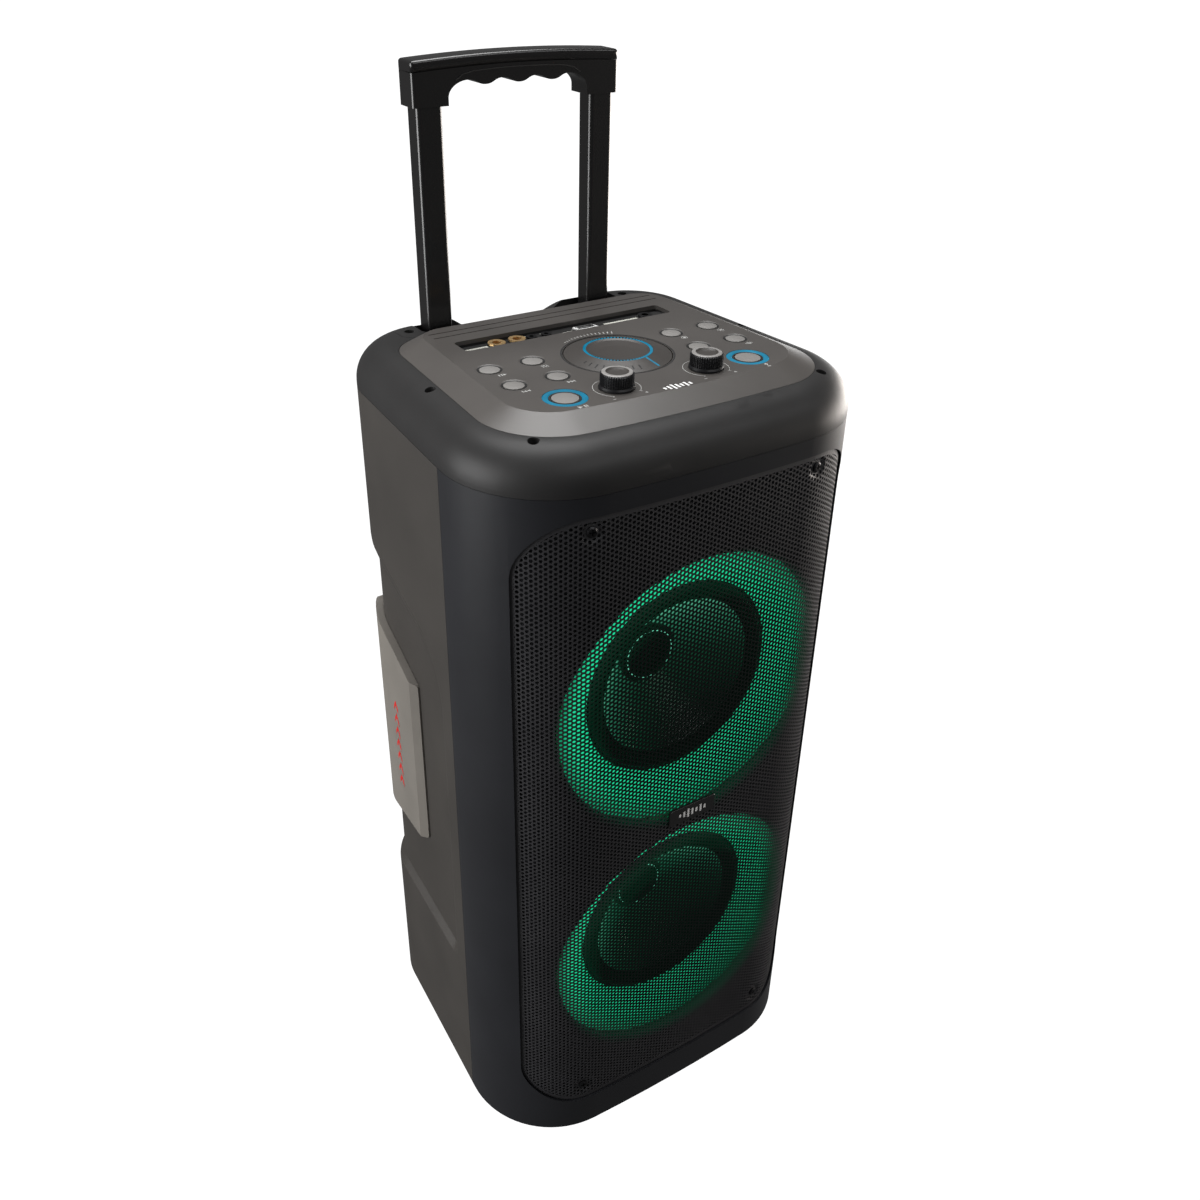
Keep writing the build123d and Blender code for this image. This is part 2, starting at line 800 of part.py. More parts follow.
with BuildPart() as top_cap:
    add(cap_form.part)
    add(cap_core.part, mode=Mode.SUBTRACT)
    for x, y in cap_screws_at:
        if abs(x) > cover_half_width:
            add(tube(cap_screw_well + 1.8, cap_screw_floor - 9, cap_top - wall, x, y))
    add(cap_form.part, mode=Mode.INTERSECT)
    for x, y in cap_screws_at:
        add(tube(cap_screw_well, cap_screw_floor, cap_top + 5, x, y), mode=Mode.SUBTRACT)
        add(tube(screw_shank, cap_seam, cap_top, x, y), mode=Mode.SUBTRACT)
    panel_hole = plan_outline(panel_inset, cover_front, panel_corner[0])
    add(prism(panel_hole, cap_seam, cap_top + 5), mode=Mode.SUBTRACT)
    add(cover_region.part, mode=Mode.SUBTRACT)
save(top_cap.part, "top_cap")

cap_screw = screw(3.4, 2.2, screw_shank - 0.1, 15)
save(gather(Pos(x, y, cap_screw_floor) * cap_screw for x, y in cap_screws_at), "cap_screws")

# ================================================================ handle cover
with BuildPart() as grip_well:
    # walls round the well that the grip drops into, solid behind it
    well_side = well_half_width + wall
    add(block((-well_side, well_y[0] - wall, cap_seam), (well_side, rear_y, cap_top)))
    add(cap_form.part, mode=Mode.INTERSECT)
    pan_back = well_y[1] + wall
    add(block((-well_side, well_y[0] - wall, well_floor - wall), (well_side, pan_back, cap_seam)))

with BuildPart() as handle_cover:
    with BuildSketch(Plane.XY.offset(cap_seam)):
        with Locations((0, cover_front + 50)):
            RectangleRounded(2 * (cover_half_width - seam_gap), 100 - 2 * seam_gap, 12)
    extrude(amount=50)
    add(cap_form.part, mode=Mode.INTERSECT)
    add(cap_core.part, mode=Mode.SUBTRACT)
    for x, y in cap_screws_at:
        if abs(x) < cover_half_width:
            add(tube(cap_screw_well + 1.8, cap_screw_floor - 9, cap_top - wall, x, y))
    add(grip_well.part)
    for x, y in cap_screws_at:
        add(tube(cap_screw_well, cap_screw_floor, cap_top + 5, x, y), mode=Mode.SUBTRACT)
        add(tube(screw_shank, cap_seam, cap_top, x, y), mode=Mode.SUBTRACT)
    with BuildSketch(Plane.XY.offset(well_floor)):
        with Locations((0, sum(well_y) / 2)):
            RectangleRounded(2 * well_half_width, well_y[1] - well_y[0], 5)
    extrude(amount=60, mode=Mode.SUBTRACT)
    for s in (-1, 1):
        hole = rounded_post(
            pole_size[0] + 2 * guide_fit,
            pole_size[1] + 2 * guide_fit,
            pole_corner + guide_fit,
            well_floor - 10,
            well_floor + 10,
            s * pole_x,
            pole_y,
        )
        add(hole, mode=Mode.SUBTRACT)
    # the back wall dips in the middle, so that fingers reach the lowered grip
    cut_low, cut_high, cut_floor = finger_cut
    with BuildSketch(Plane.XZ.offset(-well_y[1] + 2)):
        with BuildLine():
            inner_x = cut_low + 16
            outer_x = cut_high - 14
            top = cap_top + 0.2
            Bezier((cut_high, top), (outer_x, top), (inner_x, cut_floor), (cut_low, cut_floor))
            Line((cut_low, cut_floor), (-cut_low, cut_floor))
            Bezier((-cut_low, cut_floor), (-inner_x, cut_floor), (-outer_x, top), (-cut_high, top))
            Polyline((-cut_high, top), (-cut_high, top + 3), (cut_high, top + 3), (cut_high, top))
        make_face()
    extrude(amount=-30, mode=Mode.SUBTRACT)
save(handle_cover.part, "handle_cover")

# ================================================================ control panel
outer_plan = plan_outline(panel_inset + seam_gap, panel_back, panel_corner[0])
inner_plan = plan_outline(plateau_inset, plateau_back, panel_corner[1])
pocket_plan = plan_outline(plateau_inset + 3.5, plateau_back - 3.5, panel_corner[1] - 3.5)
panel_base = cap_top - 6

with BuildPart() as control_panel:
    add(prism(outer_plan, panel_base, cap_top))
    with BuildSketch(Plane.XY.offset(cap_top)):
        add(outer_plan)
    with BuildSketch(Plane.XY.offset(panel_top)):
        add(inner_plan)
    loft(ruled=True)
    add(prism(pocket_plan, panel_base, sheet_under), mode=Mode.SUBTRACT)
    # well for the volume knob
    add(tube(volume_radius + 3, volume_well - 2, sheet_under, *volume_centre))
    add(tube(volume_radius + 0.8, volume_well, panel_top + 5, *volume_centre), mode=Mode.SUBTRACT)
    for x, y in (volume_centre, *tone_knobs.values()):
        add(tube(stem_radius + 0.5, panel_base, panel_top + 5, x, y), mode=Mode.SUBTRACT)
    # push button holes, each in a shallow dish
    for x, y in small_buttons.values():
        add(tube(button_radius + button_fit, panel_base, panel_top + 5, x, y), mode=Mode.SUBTRACT)
        with Locations((x, y, panel_top - 0.3)):
            Cone(button_radius + 0.8, button_radius + 3.2, 0.8, mode=Mode.SUBTRACT)
    for x, y in lit_buttons.values():
        add(tube(lit_button_radius + button_fit, panel_base, panel_top + 5, x, y), mode=Mode.SUBTRACT)
        add(tube(lit_ring_outer + 0.1, panel_top - 1.2, panel_top + 5, x, y), mode=Mode.SUBTRACT)
    # slot over the sockets
    with BuildSketch(Plane.XY.offset(sheet_under - 1)):
        with Locations((sum(trough_x) / 2, sum(trough_y) / 2)):
            RectangleRounded(trough_x[1] - trough_x[0], trough_y[1] - trough_y[0], 3)
    extrude(amount=10, mode=Mode.SUBTRACT)
    # two grooves across the panel behind the slot
    for y in (60.0, 69.0):
        add(block((-97, y, panel_top - 0.7), (97, y + 1.2, panel_top + 5)), mode=Mode.SUBTRACT)
save(control_panel.part, "control_panel")

with BuildPart() as ring_light:
    add(turned([(lit_ring_inner, 0), (lit_ring_outer, 0), (lit_ring_outer, 1.2), (lit_ring_inner, 1.2)]))
    chamfer(ring_light.faces().sort_by(Axis.Z)[-1].edges(), 0.5)
ring_spots = [Pos(x, y, panel_top - 1.2) for x, y in lit_buttons.values()]
save(gather(spot * ring_light.part for spot in ring_spots), "button_light_rings")


def push_button(radius, x, y):
    """One push button: crowned cap, flange under the panel, and plunger to its switch."""
    with BuildPart() as made:
        with BuildSketch(Plane.XZ):
            with BuildLine():
                rim = panel_top - 0.2
                Polyline(
                    (0, switch_top + button_travel + 0.3),
                    (2.2, switch_top + button_travel + 0.3),
                    (2.2, sheet_under - 2.0),
                    (radius + 1.4, sheet_under - 2.0),
                    (radius + 1.4, sheet_under - 0.6),
                    (radius, sheet_under - 0.6),
                    (radius, rim),
                )
                crown(radius, rim, rim + button_crown)
                Line((0, rim + button_crown), (0, switch_top + button_travel + 0.3))
            make_face()
        revolve(axis=Axis.Z)
    return Pos(x, y, 0) * made.part


for name, (x, y) in small_buttons.items():
    save(gather([push_button(button_radius, x, y)]), name)
for name, (x, y) in lit_buttons.items():
    save(gather([push_button(lit_button_radius, x, y)]), name)

# ================================================================ knobs
with BuildPart() as volume_knob:
    add(
        turned(
            [
                (0, board_top + 1.5),
                (stem_radius, board_top + 1.5),
                (stem_radius, volume_well + 0.6),
                (volume_radius, volume_well + 0.6),
                (volume_radius, panel_top - 0.2),
                (ring_edge + 0.1, panel_top + knob_rise),
                (ring_edge + 0.1, panel_top + knob_rise - 1.4),
                (ring_edge - 2.1, panel_top + knob_rise - 1.4),
                (ring_edge - 2.1, panel_top + knob_rise - 0.2),
                (ring_edge - 4.0, panel_top + knob_rise - 1.0),
                (12, panel_top + knob_rise - 1.8),
                (0, panel_top + knob_rise - 2.0),
            ]
        )
    )
save(gather([Pos(*volume_centre, 0) * volume_knob.part]), "volume_knob")

volume_ring = turned(
    [
        (ring_edge - 2, panel_top + knob_rise - 1.4),
        (ring_edge, panel_top + knob_rise - 1.4),
        (ring_edge, panel_top + knob_rise),
        (ring_edge - 2, panel_top + knob_rise),
    ]
)
save(gather([Pos(*volume_centre, 0) * volume_ring]), "volume_light_ring")

knob_base = panel_top + 0.4
knob_top = knob_base + tone_height
tone_knob = turned(
    [
        (0, board_top + 1.5),
        (stem_radius, board_top + 1.5),
        (stem_radius, knob_base),
        (tone_radius, knob_base),
        (tone_radius, knob_base + 1.0),
        (tone_radius - 1.5, knob_base + 3.0),
        (tone_radius - 1.5, knob_top - 1.6),
        (tone_radius - 3.0, knob_top),
        (tone_radius - 4.6, knob_top),
        (tone_radius - 6.0, knob_top - 1.2),
        (0, knob_top - 1.6),
    ]
)
for name, (x, y) in tone_knobs.items():
    save(gather([Pos(x, y, 0) * tone_knob]), f"{name}_knob")

# ================================================================ sockets
trough_centre = (sum(trough_x) / 2, sum(trough_y) / 2)
trough_length = trough_x[1] - trough_x[0]
with BuildPart() as port_panel:
    with BuildSketch(Plane.XY.offset(sheet_under - 6)):
        with Locations(trough_centre):
            Rectangle(trough_length + 8, trough_y[1] - trough_y[0] + 8)
    extrude(amount=6)
    with BuildSketch(Plane.XY.offset(sheet_under - 1)):
        with Locations(trough_centre):
            RectangleRounded(trough_length - 0.4, trough_y[1] - trough_y[0] - 0.4, 2.8)
    extrude(amount=2)
    # the floor of the trough slopes down towards the back
    with BuildSketch(Plane.YZ.offset(trough_x[0])):
        with BuildLine():
            Polyline(
                (trough_y[0], trough_floor[0]),
                (trough_y[1], trough_floor[1]),
                (trough_y[1], panel_top),
                (trough_y[0], panel_top),
                close=True,
            )
        make_face()
    extrude(amount=trough_length, mode=Mode.SUBTRACT)
    for x in microphone_x:
        add(tube(5.6, 630, 660, x, socket_y), mode=Mode.SUBTRACT)
    for x in line_x:
        add(tube(3.0, 630, 660, x, socket_y), mode=Mode.SUBTRACT)
    add(tube(4.6, 630, 660, power_x, socket_y), mode=Mode.SUBTRACT)
    add(block((usb_x - 7.2, socket_y - 3.2, 630), (usb_x + 7.2, socket_y + 3.2, 660)), mode=Mode.SUBTRACT)
save(port_panel.part, "port_panel")

nut_base = trough_z(socket_y - 6.5)


def socket(x, bore, barrel, nut, depth, nut_height):
    """Round socket: threaded barrel below the floor and a bright nut above it."""
    top = nut_base + nut_height
    profile = [
        (bore, top),
        (nut, top),
        (nut, nut_base),
        (barrel, nut_base),
        (barrel, nut_base - depth - 2),
        (0, nut_base - depth - 2),
        (0, nut_base - depth),
        (bore, nut_base - depth),
    ]
    return Pos(x, socket_y, 0) * turned(profile)


save(gather(socket(x, microphone_bore, 5.5, 6.4, 30, 1.2) for x in microphone_x), "microphone_jacks")

usb_shell = block((usb_x - 7.1, socket_y - 3.1, 637), (usb_x + 7.1, socket_y + 3.1, nut_base + 0.4))
usb_cavity = block((usb_x - 6.6, socket_y - 2.6, 639), (usb_x + 6.6, socket_y + 2.6, nut_base + 5))
usb_tongue = block((usb_x - 5.6, socket_y + 0.6, 638.5), (usb_x + 5.6, socket_y + 2.3, nut_base - 1.5))
with BuildPart() as usb_port:
    add(usb_shell)
    add(usb_cavity, mode=Mode.SUBTRACT)
    add(usb_tongue)
small_ones = [socket(x, 1.8, 2.9, 4.0, 14, 0.8) for x in line_x]
small_ones.append(socket(power_x, power_bore, 4.5, 5.4, 10, 0.8))
small_ones.append(usb_port.part)
save(gather(small_ones), "small_sockets")

# ================================================================ boards inside
knob_spots = (volume_centre, *tone_knobs.values())
switch_spots = (*small_buttons.values(), *lit_buttons.values())
with BuildPart() as control_board:
    add(block((-100, -98, board_top - board_thickness), (100, 18, board_top)))
    for x, y in switch_spots:
        add(block((x - 3, y - 3, board_top), (x + 3, y + 3, switch_top)))
save(control_board.part, "control_board")

with BuildPart() as pot_form:
    add(block((-6, -6, board_top), (6, 6, board_top + 6)))
    add(tube(stem_radius + 0.05, board_top + 1, board_top + 10), mode=Mode.SUBTRACT)
save(gather(Pos(x, y, 0) * pot_form.part for x, y in knob_spots), "rotary_controls")

amplifier_y = baffle_front + baffle_thickness
with BuildPart() as amplifier_board:
    for x in (-70, 70):
        for z in (530, 590):
            with Locations((x, amplifier_y + 4, z)):
                Cylinder(3, 8, rotation=(90, 0, 0))
    add(block((-80, amplifier_y + 8, 522), (80, amplifier_y + 9.6, 598)))
    # finned heat sink and a row of capacitors
    add(block((-50, amplifier_y + 9.6, 532), (20, amplifier_y + 13, 588)))
    for i in range(9):
        left = -50 + i * 8.4
        add(block((left, amplifier_y + 13, 532), (left + 2.2, amplifier_y + 33, 588)))
    for x in (36, 54, 70):
        with Locations((x, amplifier_y + 9.6 + 12, 560)):
            Cylinder(7.5, 24, rotation=(90, 0, 0))
save(amplifier_board.part, "amplifier_board")

plate_top = cabinet_bottom + 3
with BuildPart() as power_supply:
    for x in (-50, 50):
        for y in (32, 72):
            add(tube(3, plate_top, plate_top + 5, x, y))
    add(block((-58, 25, plate_top + 5), (58, 79, plate_top + 6.6)))
    add(block((-48, 34, plate_top + 6.6), (-14, 68, plate_top + 34)))
    for x in (4, 26, 46):
        add(tube(9, plate_top + 6.6, plate_top + 34, x, 52))
save(power_supply.part, "power_supply")

with BuildPart() as battery_pack:
    for i in range(4):
        with Locations((0, -78 + i * 20.0, plate_top + 12)):
            Cylinder(9.6, 140, rotation=(0, 90, 0))
    add(block((-72, -88, plate_top), (72, -8, plate_top + 7)))
    add(block((-72, -88, plate_top), (-66, -8, plate_top + 23)))
    add(block((66, -88, plate_top), (72, -8, plate_top + 23)))
save(battery_pack.part, "battery_pack")

# ================================================================ pull handle
shoe_top = pole_bottom + shoe_height
shoe_flange = 1.1             # how far the shoe at a pole's foot stands out all round
guide_room = shoe_flange + 0.4
guide_x = pole_size[0] / 2 + guide_room + 2
guide_y = pole_size[1] / 2 + guide_room + 2
with BuildPart() as guide_form:
    add(block((-guide_x, -guide_y, guide_bottom), (guide_x, guide_y, well_floor - wall)))
    # wide below, for the shoe, and close round the pole above it
    wide = (pole_size[0] + 2 * guide_room, pole_size[1] + 2 * guide_room)
    shoe_way = rounded_post(*wide, pole_corner + 1, guide_bottom + 2, shoe_top + guide_fit, 0, 0)
    add(shoe_way, mode=Mode.SUBTRACT)
    close_fit = (pole_size[0] + 2 * guide_fit, pole_size[1] + 2 * guide_fit)
    pole_way = rounded_post(*close_fit, pole_corner + guide_fit, guide_bottom + 2, well_floor, 0, 0)
    add(pole_way, mode=Mode.SUBTRACT)
save(gather(Pos(s * pole_x, pole_y, 0) * guide_form.part for s in (-1, 1)), "handle_guides")

with BuildPart() as pole_form:
    add(rounded_post(*pole_size, pole_corner, pole_bottom, grip_bottom + socket_depth, 0, 0))
    bore = (pole_size[0] - 2 * pole_wall, pole_size[1] - 2 * pole_wall)
    bore_form = rounded_post(*bore, pole_corner - pole_wall, shoe_top, grip_bottom + 20, 0, 0)
    add(bore_form, mode=Mode.SUBTRACT)
    shoe = (pole_size[0] + 2 * shoe_flange, pole_size[1] + 2 * shoe_flange)
    add(rounded_post(*shoe, pole_corner + 1, pole_bottom, shoe_top, 0, 0))
save(gather(Pos(s * pole_x, pole_y, 0) * pole_form.part for s in (-1, 1)), "handle_poles")

grip_depth = grip_y[1] - grip_y[0]


def arch(lift):
    """The grip's arched top line, moved up by lift."""
    return ThreePointArc(
        (-grip_half_width, grip_end_top + lift),
        (0, grip_mid_top + lift),
        (grip_half_width, grip_end_top + lift),
    )


with BuildPart() as grip_upper:
    with BuildSketch(Plane.XZ.offset(-grip_y[0])):
        with BuildLine():
            arch(0)
            Line((grip_half_width, grip_end_top), (grip_half_width, grip_end_top - grip_lid))
            arch(-grip_lid)
            Line((-grip_half_width, grip_end_top - grip_lid), (-grip_half_width, grip_end_top))
        make_face()
    extrude(amount=-grip_depth)
    fillet(grip_upper.edges().filter_by(Axis.Z), 2.5)
    fillet(grip_upper.faces().sort_by(Axis.Z)[-1].edges(), 2.2)
save(grip_upper.part, "grip_upper")

with BuildPart() as grip_lower:
    with BuildSketch(Plane.XZ.offset(-grip_y[0])):
        with BuildLine():
            arch(-grip_lid - lid_gap)
            low_top = grip_end_top - grip_lid - lid_gap
            Polyline(
                (grip_half_width, low_top),
                (grip_half_width, grip_bottom),
                (grip_leg, grip_bottom),
                (grip_leg, grip_leg_top),
            )
            crests = [(i * finger_pitch, finger_dip if i % 2 else finger_crest) for i in range(3, -4, -1)]
            shoulder = (grip_leg - 7.5, finger_dip)
            Bezier((grip_leg, grip_leg_top), (grip_leg, grip_leg_top + 6), shoulder, crests[0])
            for start, end in zip(crests, crests[1:]):
                middle_x = (start[0] + end[0]) / 2
                Bezier(start, (middle_x, start[1]), (middle_x, end[1]), end)
            other = (-shoulder[0], shoulder[1])
            Bezier(crests[-1], other, (-grip_leg, grip_leg_top + 6), (-grip_leg, grip_leg_top))
            Polyline(
                (-grip_leg, grip_leg_top),
                (-grip_leg, grip_bottom),
                (-grip_half_width, grip_bottom),
                (-grip_half_width, low_top),
            )
        make_face()
    extrude(amount=-grip_depth)
    fillet(grip_lower.edges().filter_by(Axis.Z).filter_by(lambda e: abs(e.center().X) > 80), 2.5)
    for s in (-1, 1):
        hole = rounded_post(
            *pole_size, pole_corner, grip_bottom - 5, grip_bottom + socket_depth, s * pole_x, pole_y
        )
        add(hole, mode=Mode.SUBTRACT)
save(grip_lower.part, "grip_lower")

# ================================================================ wheels and feet
for name, s in (("left", -1), ("right", 1)):
    axle_end = Pos(s * wheel_x[0], wheel_y, wheel_radius) * Rot(0, 90 * s, 0)
    width = wheel_x[1] - wheel_x[0]
    with BuildPart() as hub:
        add(
            turned(
                [
                    (axle_radius + axle_fit, 0),
                    (9, 0),
                    (9, 4),
                    (20, 7),
                    (23, 3),
                    (23, width - 3),
                    (20, width - 7),
                    (9, width - 4),
                    (9, width),
                    (axle_radius + axle_fit, width),
                ]
            )
        )
        with PolarLocations(14.5, 5):
            Cylinder(4, 80, mode=Mode.SUBTRACT)
    save(gather([axle_end * hub.part]), f"wheel_hub_{name}")
    tyre = turned(
        [
            (23, 2),
            (29, 0),
            (31.2, 1.6),
            (wheel_radius, 5),
            (wheel_radius, width - 5),
            (31.2, width - 1.6),
            (29, width),
            (23, width - 2),
        ]
    )
    save(gather([axle_end * tyre]), f"tyre_{name}")

with BuildPart() as wheel_axle:
    with Locations((0, wheel_y, wheel_radius)):
        Cylinder(axle_radius, 2 * (wheel_well_x[1] + well_wall), rotation=(0, 90, 0))
save(wheel_axle.part, "wheel_axle")

foot_form = turned([(0, 0), (11, 0), (13, 2), (14, cabinet_bottom), (0, cabinet_bottom)])
save(gather(Pos(x, -100, 0) * foot_form for x in (-98, 98)), "rubber_feet")

# ================================================================ back fittings
port_profile = [
    (port_bore + 4, 2.6),
    (port_bore + 12, 2.6),
    (port_bore + 12, 0),
    (port_bore + 2.4, 0),
    (port_bore + 2.4, -port_length),
    (port_bore, -port_length),
    (port_bore, -2),
]
port_plane = Plane(origin=(0, recessed_back, port_z), x_dir=(1, 0, 0), z_dir=(0, 1, 0))
save(gather([port_plane.location * turned(port_profile)]), "bass_port")

with BuildPart() as mains_inlet:
    add(block((-13.6, rear_y - 20, inlet_z - 9.6), (13.6, rear_y, inlet_z + 9.6)))
    add(block((-19, rear_y, inlet_z - 13), (19, rear_y + 2, inlet_z + 13)))
    with BuildSketch(Plane.XZ.offset(-rear_y - 2)):
        with Locations((0, inlet_z)):
            SlotOverall(20, 10.5)
    extrude(amount=16, mode=Mode.SUBTRACT)
save(mains_inlet.part, "mains_inlet")

inlet_pin = Pos(0, rear_y - 8, inlet_z) * Rot(90, 0, 0) * Cylinder(1.2, 12)
save(gather(Pos(x, 0, 0) * inlet_pin for x in (-4.3, 4.3)), "inlet_pins")

back_screw = screw(3.6, 1.8, screw_shank - 0.1, 8)
save(gather(plane.location * back_screw for plane in back_planes), "back_screws")
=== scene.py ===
import math

import bmesh
import bpy
from mathutils import Matrix, Vector
from mathutils.bvhtree import BVHTree


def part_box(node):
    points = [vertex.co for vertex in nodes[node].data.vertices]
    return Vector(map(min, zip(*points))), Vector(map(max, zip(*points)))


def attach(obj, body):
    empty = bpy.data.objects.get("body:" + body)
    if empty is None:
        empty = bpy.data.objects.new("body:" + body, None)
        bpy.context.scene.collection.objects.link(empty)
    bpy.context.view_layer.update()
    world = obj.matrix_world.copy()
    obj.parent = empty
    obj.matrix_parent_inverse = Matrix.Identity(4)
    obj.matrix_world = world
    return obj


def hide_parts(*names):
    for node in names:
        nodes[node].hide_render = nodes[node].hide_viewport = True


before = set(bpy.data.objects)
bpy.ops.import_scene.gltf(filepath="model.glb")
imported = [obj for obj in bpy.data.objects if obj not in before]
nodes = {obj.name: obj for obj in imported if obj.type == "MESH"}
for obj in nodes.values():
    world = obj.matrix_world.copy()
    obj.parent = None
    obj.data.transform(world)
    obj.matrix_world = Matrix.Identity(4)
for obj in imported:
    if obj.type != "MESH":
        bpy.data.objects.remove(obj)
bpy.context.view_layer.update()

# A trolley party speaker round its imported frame. Lengths are in metres, built from millimetres.
MM = 0.001


# ================================================================ camera, floor and light
def add_camera():
    """The camera stands in front and to the left, a little above the top."""
    place = (-0.4501, -0.6911, 0.9390)
    azimuth, elevation, roll = math.radians(-33.64), math.radians(31.34), math.radians(1.21)
    back = Vector(
        (
            math.sin(azimuth) * math.cos(elevation),
            -math.cos(azimuth) * math.cos(elevation),
            math.sin(elevation),
        )
    )
    right = Vector((math.cos(azimuth), math.sin(azimuth), 0))
    up = back.cross(right)
    tilted_right = math.cos(roll) * right + math.sin(roll) * up
    tilted_up = -math.sin(roll) * right + math.cos(roll) * up
    data = bpy.data.cameras.new("camera")
    data.sensor_width = 36.0
    data.lens = 35.7
    data.clip_start = 0.02
    camera = bpy.data.objects.new("camera", data)
    turn = Matrix((tilted_right, tilted_up, back)).transposed().to_4x4()
    camera.matrix_world = Matrix.Translation(place) @ turn
    bpy.context.scene.collection.objects.link(camera)
    bpy.context.scene.camera = camera


def add_area_light(name, place, target, size, power, tint=(1, 1, 1)):
    """A soft box of size (width, height) at place, turned to target; power is in watts."""
    data = bpy.data.lights.new(name, "AREA")
    data.shape = "RECTANGLE"
    data.size, data.size_y = size
    data.energy = power
    data.color = tint
    lamp = bpy.data.objects.new(name, data)
    lamp.location = place
    lamp.rotation_euler = (Vector(target) - Vector(place)).to_track_quat("-Z", "Y").to_euler()
    bpy.context.scene.collection.objects.link(lamp)


def add_world(seen, given):
    """White surroundings: seen is how bright they look, given is how much light they cast."""
    world = bpy.data.worlds.new("studio")
    world.use_nodes = True
    tree = world.node_tree
    tree.nodes.clear()
    out = tree.nodes.new("ShaderNodeOutputWorld")
    mix = tree.nodes.new("ShaderNodeMixShader")
    path = tree.nodes.new("ShaderNodeLightPath")
    for slot, strength in ((1, given), (2, seen)):
        sky = tree.nodes.new("ShaderNodeBackground")
        sky.inputs["Color"].default_value = (1, 1, 1, 1)
        sky.inputs["Strength"].default_value = strength
        tree.links.new(sky.outputs[0], mix.inputs[slot])
    tree.links.new(path.outputs["Is Camera Ray"], mix.inputs[0])
    tree.links.new(mix.outputs[0], out.inputs[0])
    bpy.context.scene.world = world


# ================================================================ materials
class Shader:
    """A small helper that wires one procedural material."""

    def __init__(self, name):
        self.material = bpy.data.materials.new(name)
        self.material.use_nodes = True
        self.tree = self.material.node_tree
        self.bsdf = self.tree.nodes["Principled BSDF"]
        coords = self.tree.nodes.new("ShaderNodeTexCoord")
        self.place = coords.outputs["Object"]

    def node(self, kind, **inputs):
        """A new node with its inputs set or linked by name."""
        made = self.tree.nodes.new(kind)
        for name, value in inputs.items():
            self.put(made.inputs[name.replace("_", " ")], value)
        return made

    def put(self, socket, value):
        """Links a socket to an output, or sets it to a constant."""
        if isinstance(value, bpy.types.NodeSocket):
            self.tree.links.new(value, socket)
        else:
            socket.default_value = value

    def maths(self, operation, first, second=0.0, third=0.0):
        """The output of one maths node."""
        made = self.tree.nodes.new("ShaderNodeMath")
        made.operation = operation
        for socket, value in zip(made.inputs, (first, second, third)):
            self.put(socket, value)
        return made.outputs[0]

    def noise(self, scale, detail=2.0, roughness=0.5):
        """Noise through the object, scale in features a metre."""
        made = self.node("ShaderNodeTexNoise", Vector=self.place, Scale=scale, Detail=detail)
        made.inputs["Roughness"].default_value = roughness
        return made.outputs["Fac"]

    def ramp(self, factor, stops):
        """A colour ramp through (position, colour) stops."""
        made = self.node("ShaderNodeValToRGB", Fac=factor)
        band = made.color_ramp.elements
        while len(band) < len(stops):
            band.new(0.5)
        for element, (position, colour) in zip(band, stops):
            element.position = position
            element.color = (*colour, 1.0)
        return made.outputs["Color"]

    def rise(self, value, low, high, floor=0.0):
        """Climbs from floor where value is low millimetres to 1 where it is high."""
        made = self.node("ShaderNodeMapRange", Value=value)
        made.inputs["From Min"].default_value = low * MM
        made.inputs["From Max"].default_value = high * MM
        made.inputs["To Min"].default_value = floor
        return made.outputs[0]

    def bump(self, height, distance, under=None):
        """Bumps of a height field, distance in metres, over an earlier bump if there is one."""
        made = self.node("ShaderNodeBump", Height=height)
        made.inputs["Distance"].default_value = distance
        made.inputs["Strength"].default_value = 1.0
        if under is not None:
            self.put(made.inputs["Normal"], under)
        return made.outputs["Normal"]

    def set(self, **inputs):
        """Sets the main shader's inputs by name."""
        for name, value in inputs.items():
            self.put(self.bsdf.inputs[name.replace("_", " ")], value)


def scaled(colour, share):
    """A colour made darker or lighter."""
    return tuple(min(1.0, c * share) for c in colour)


def plastic(name, colour, roughness, grain=0.04, grains=2400.0, spread=0.12, coat=0.0, shine=0.3):
    """Moulded plastic: fine spark-eroded grain, faint colour drift and uneven gloss.

    grain is the height of the bumps in millimetres, grains how many there are in a metre, spread how
    far the colour drifts, coat a clear layer and shine the strength of the reflection.
    """
    shader = Shader(name)
    drift = shader.noise(14.0, 4.0)
    stops = ((0.3, scaled(colour, 1 - spread)), (0.7, scaled(colour, 1 + spread)))
    shader.set(Base_Color=shader.ramp(drift, stops))
    fine = shader.noise(grains, 3.0, 0.6)
    uneven = 0.16
    shader.set(Roughness=shader.maths("MULTIPLY_ADD", fine, uneven, roughness - uneven / 2))
    shader.set(Normal=shader.bump(fine, grain * MM))
    shader.bsdf.inputs["Specular IOR Level"].default_value = shine
    if coat:
        shader.bsdf.inputs["Coat Weight"].default_value = coat
        shader.bsdf.inputs["Coat Roughness"].default_value = 0.12
    return shader.material


def metal(name, colour, roughness):
    """Plated or brushed metal with fine upright scratches in its gloss."""
    shader = Shader(name)
    stretch = shader.node("ShaderNodeMapping", Vector=shader.place)
    stretch.inputs["Scale"].default_value = (1.0, 1.0, 0.15)
    noise = shader.node("ShaderNodeTexNoise", Vector=stretch.outputs[0], Scale=900.0, Detail=3.0)
    scratches = noise.outputs["Fac"]
    stops = ((0.3, scaled(colour, 0.85)), (0.7, scaled(colour, 1.1)))
    shader.set(Base_Color=shader.ramp(scratches, stops))
    shader.bsdf.inputs["Metallic"].default_value = 1.0
    uneven = 0.2
    shader.set(Roughness=shader.maths("MULTIPLY_ADD", scratches, uneven, roughness - uneven / 2))
    shader.set(Normal=shader.bump(scratches, 0.01 * MM))
    return shader.material


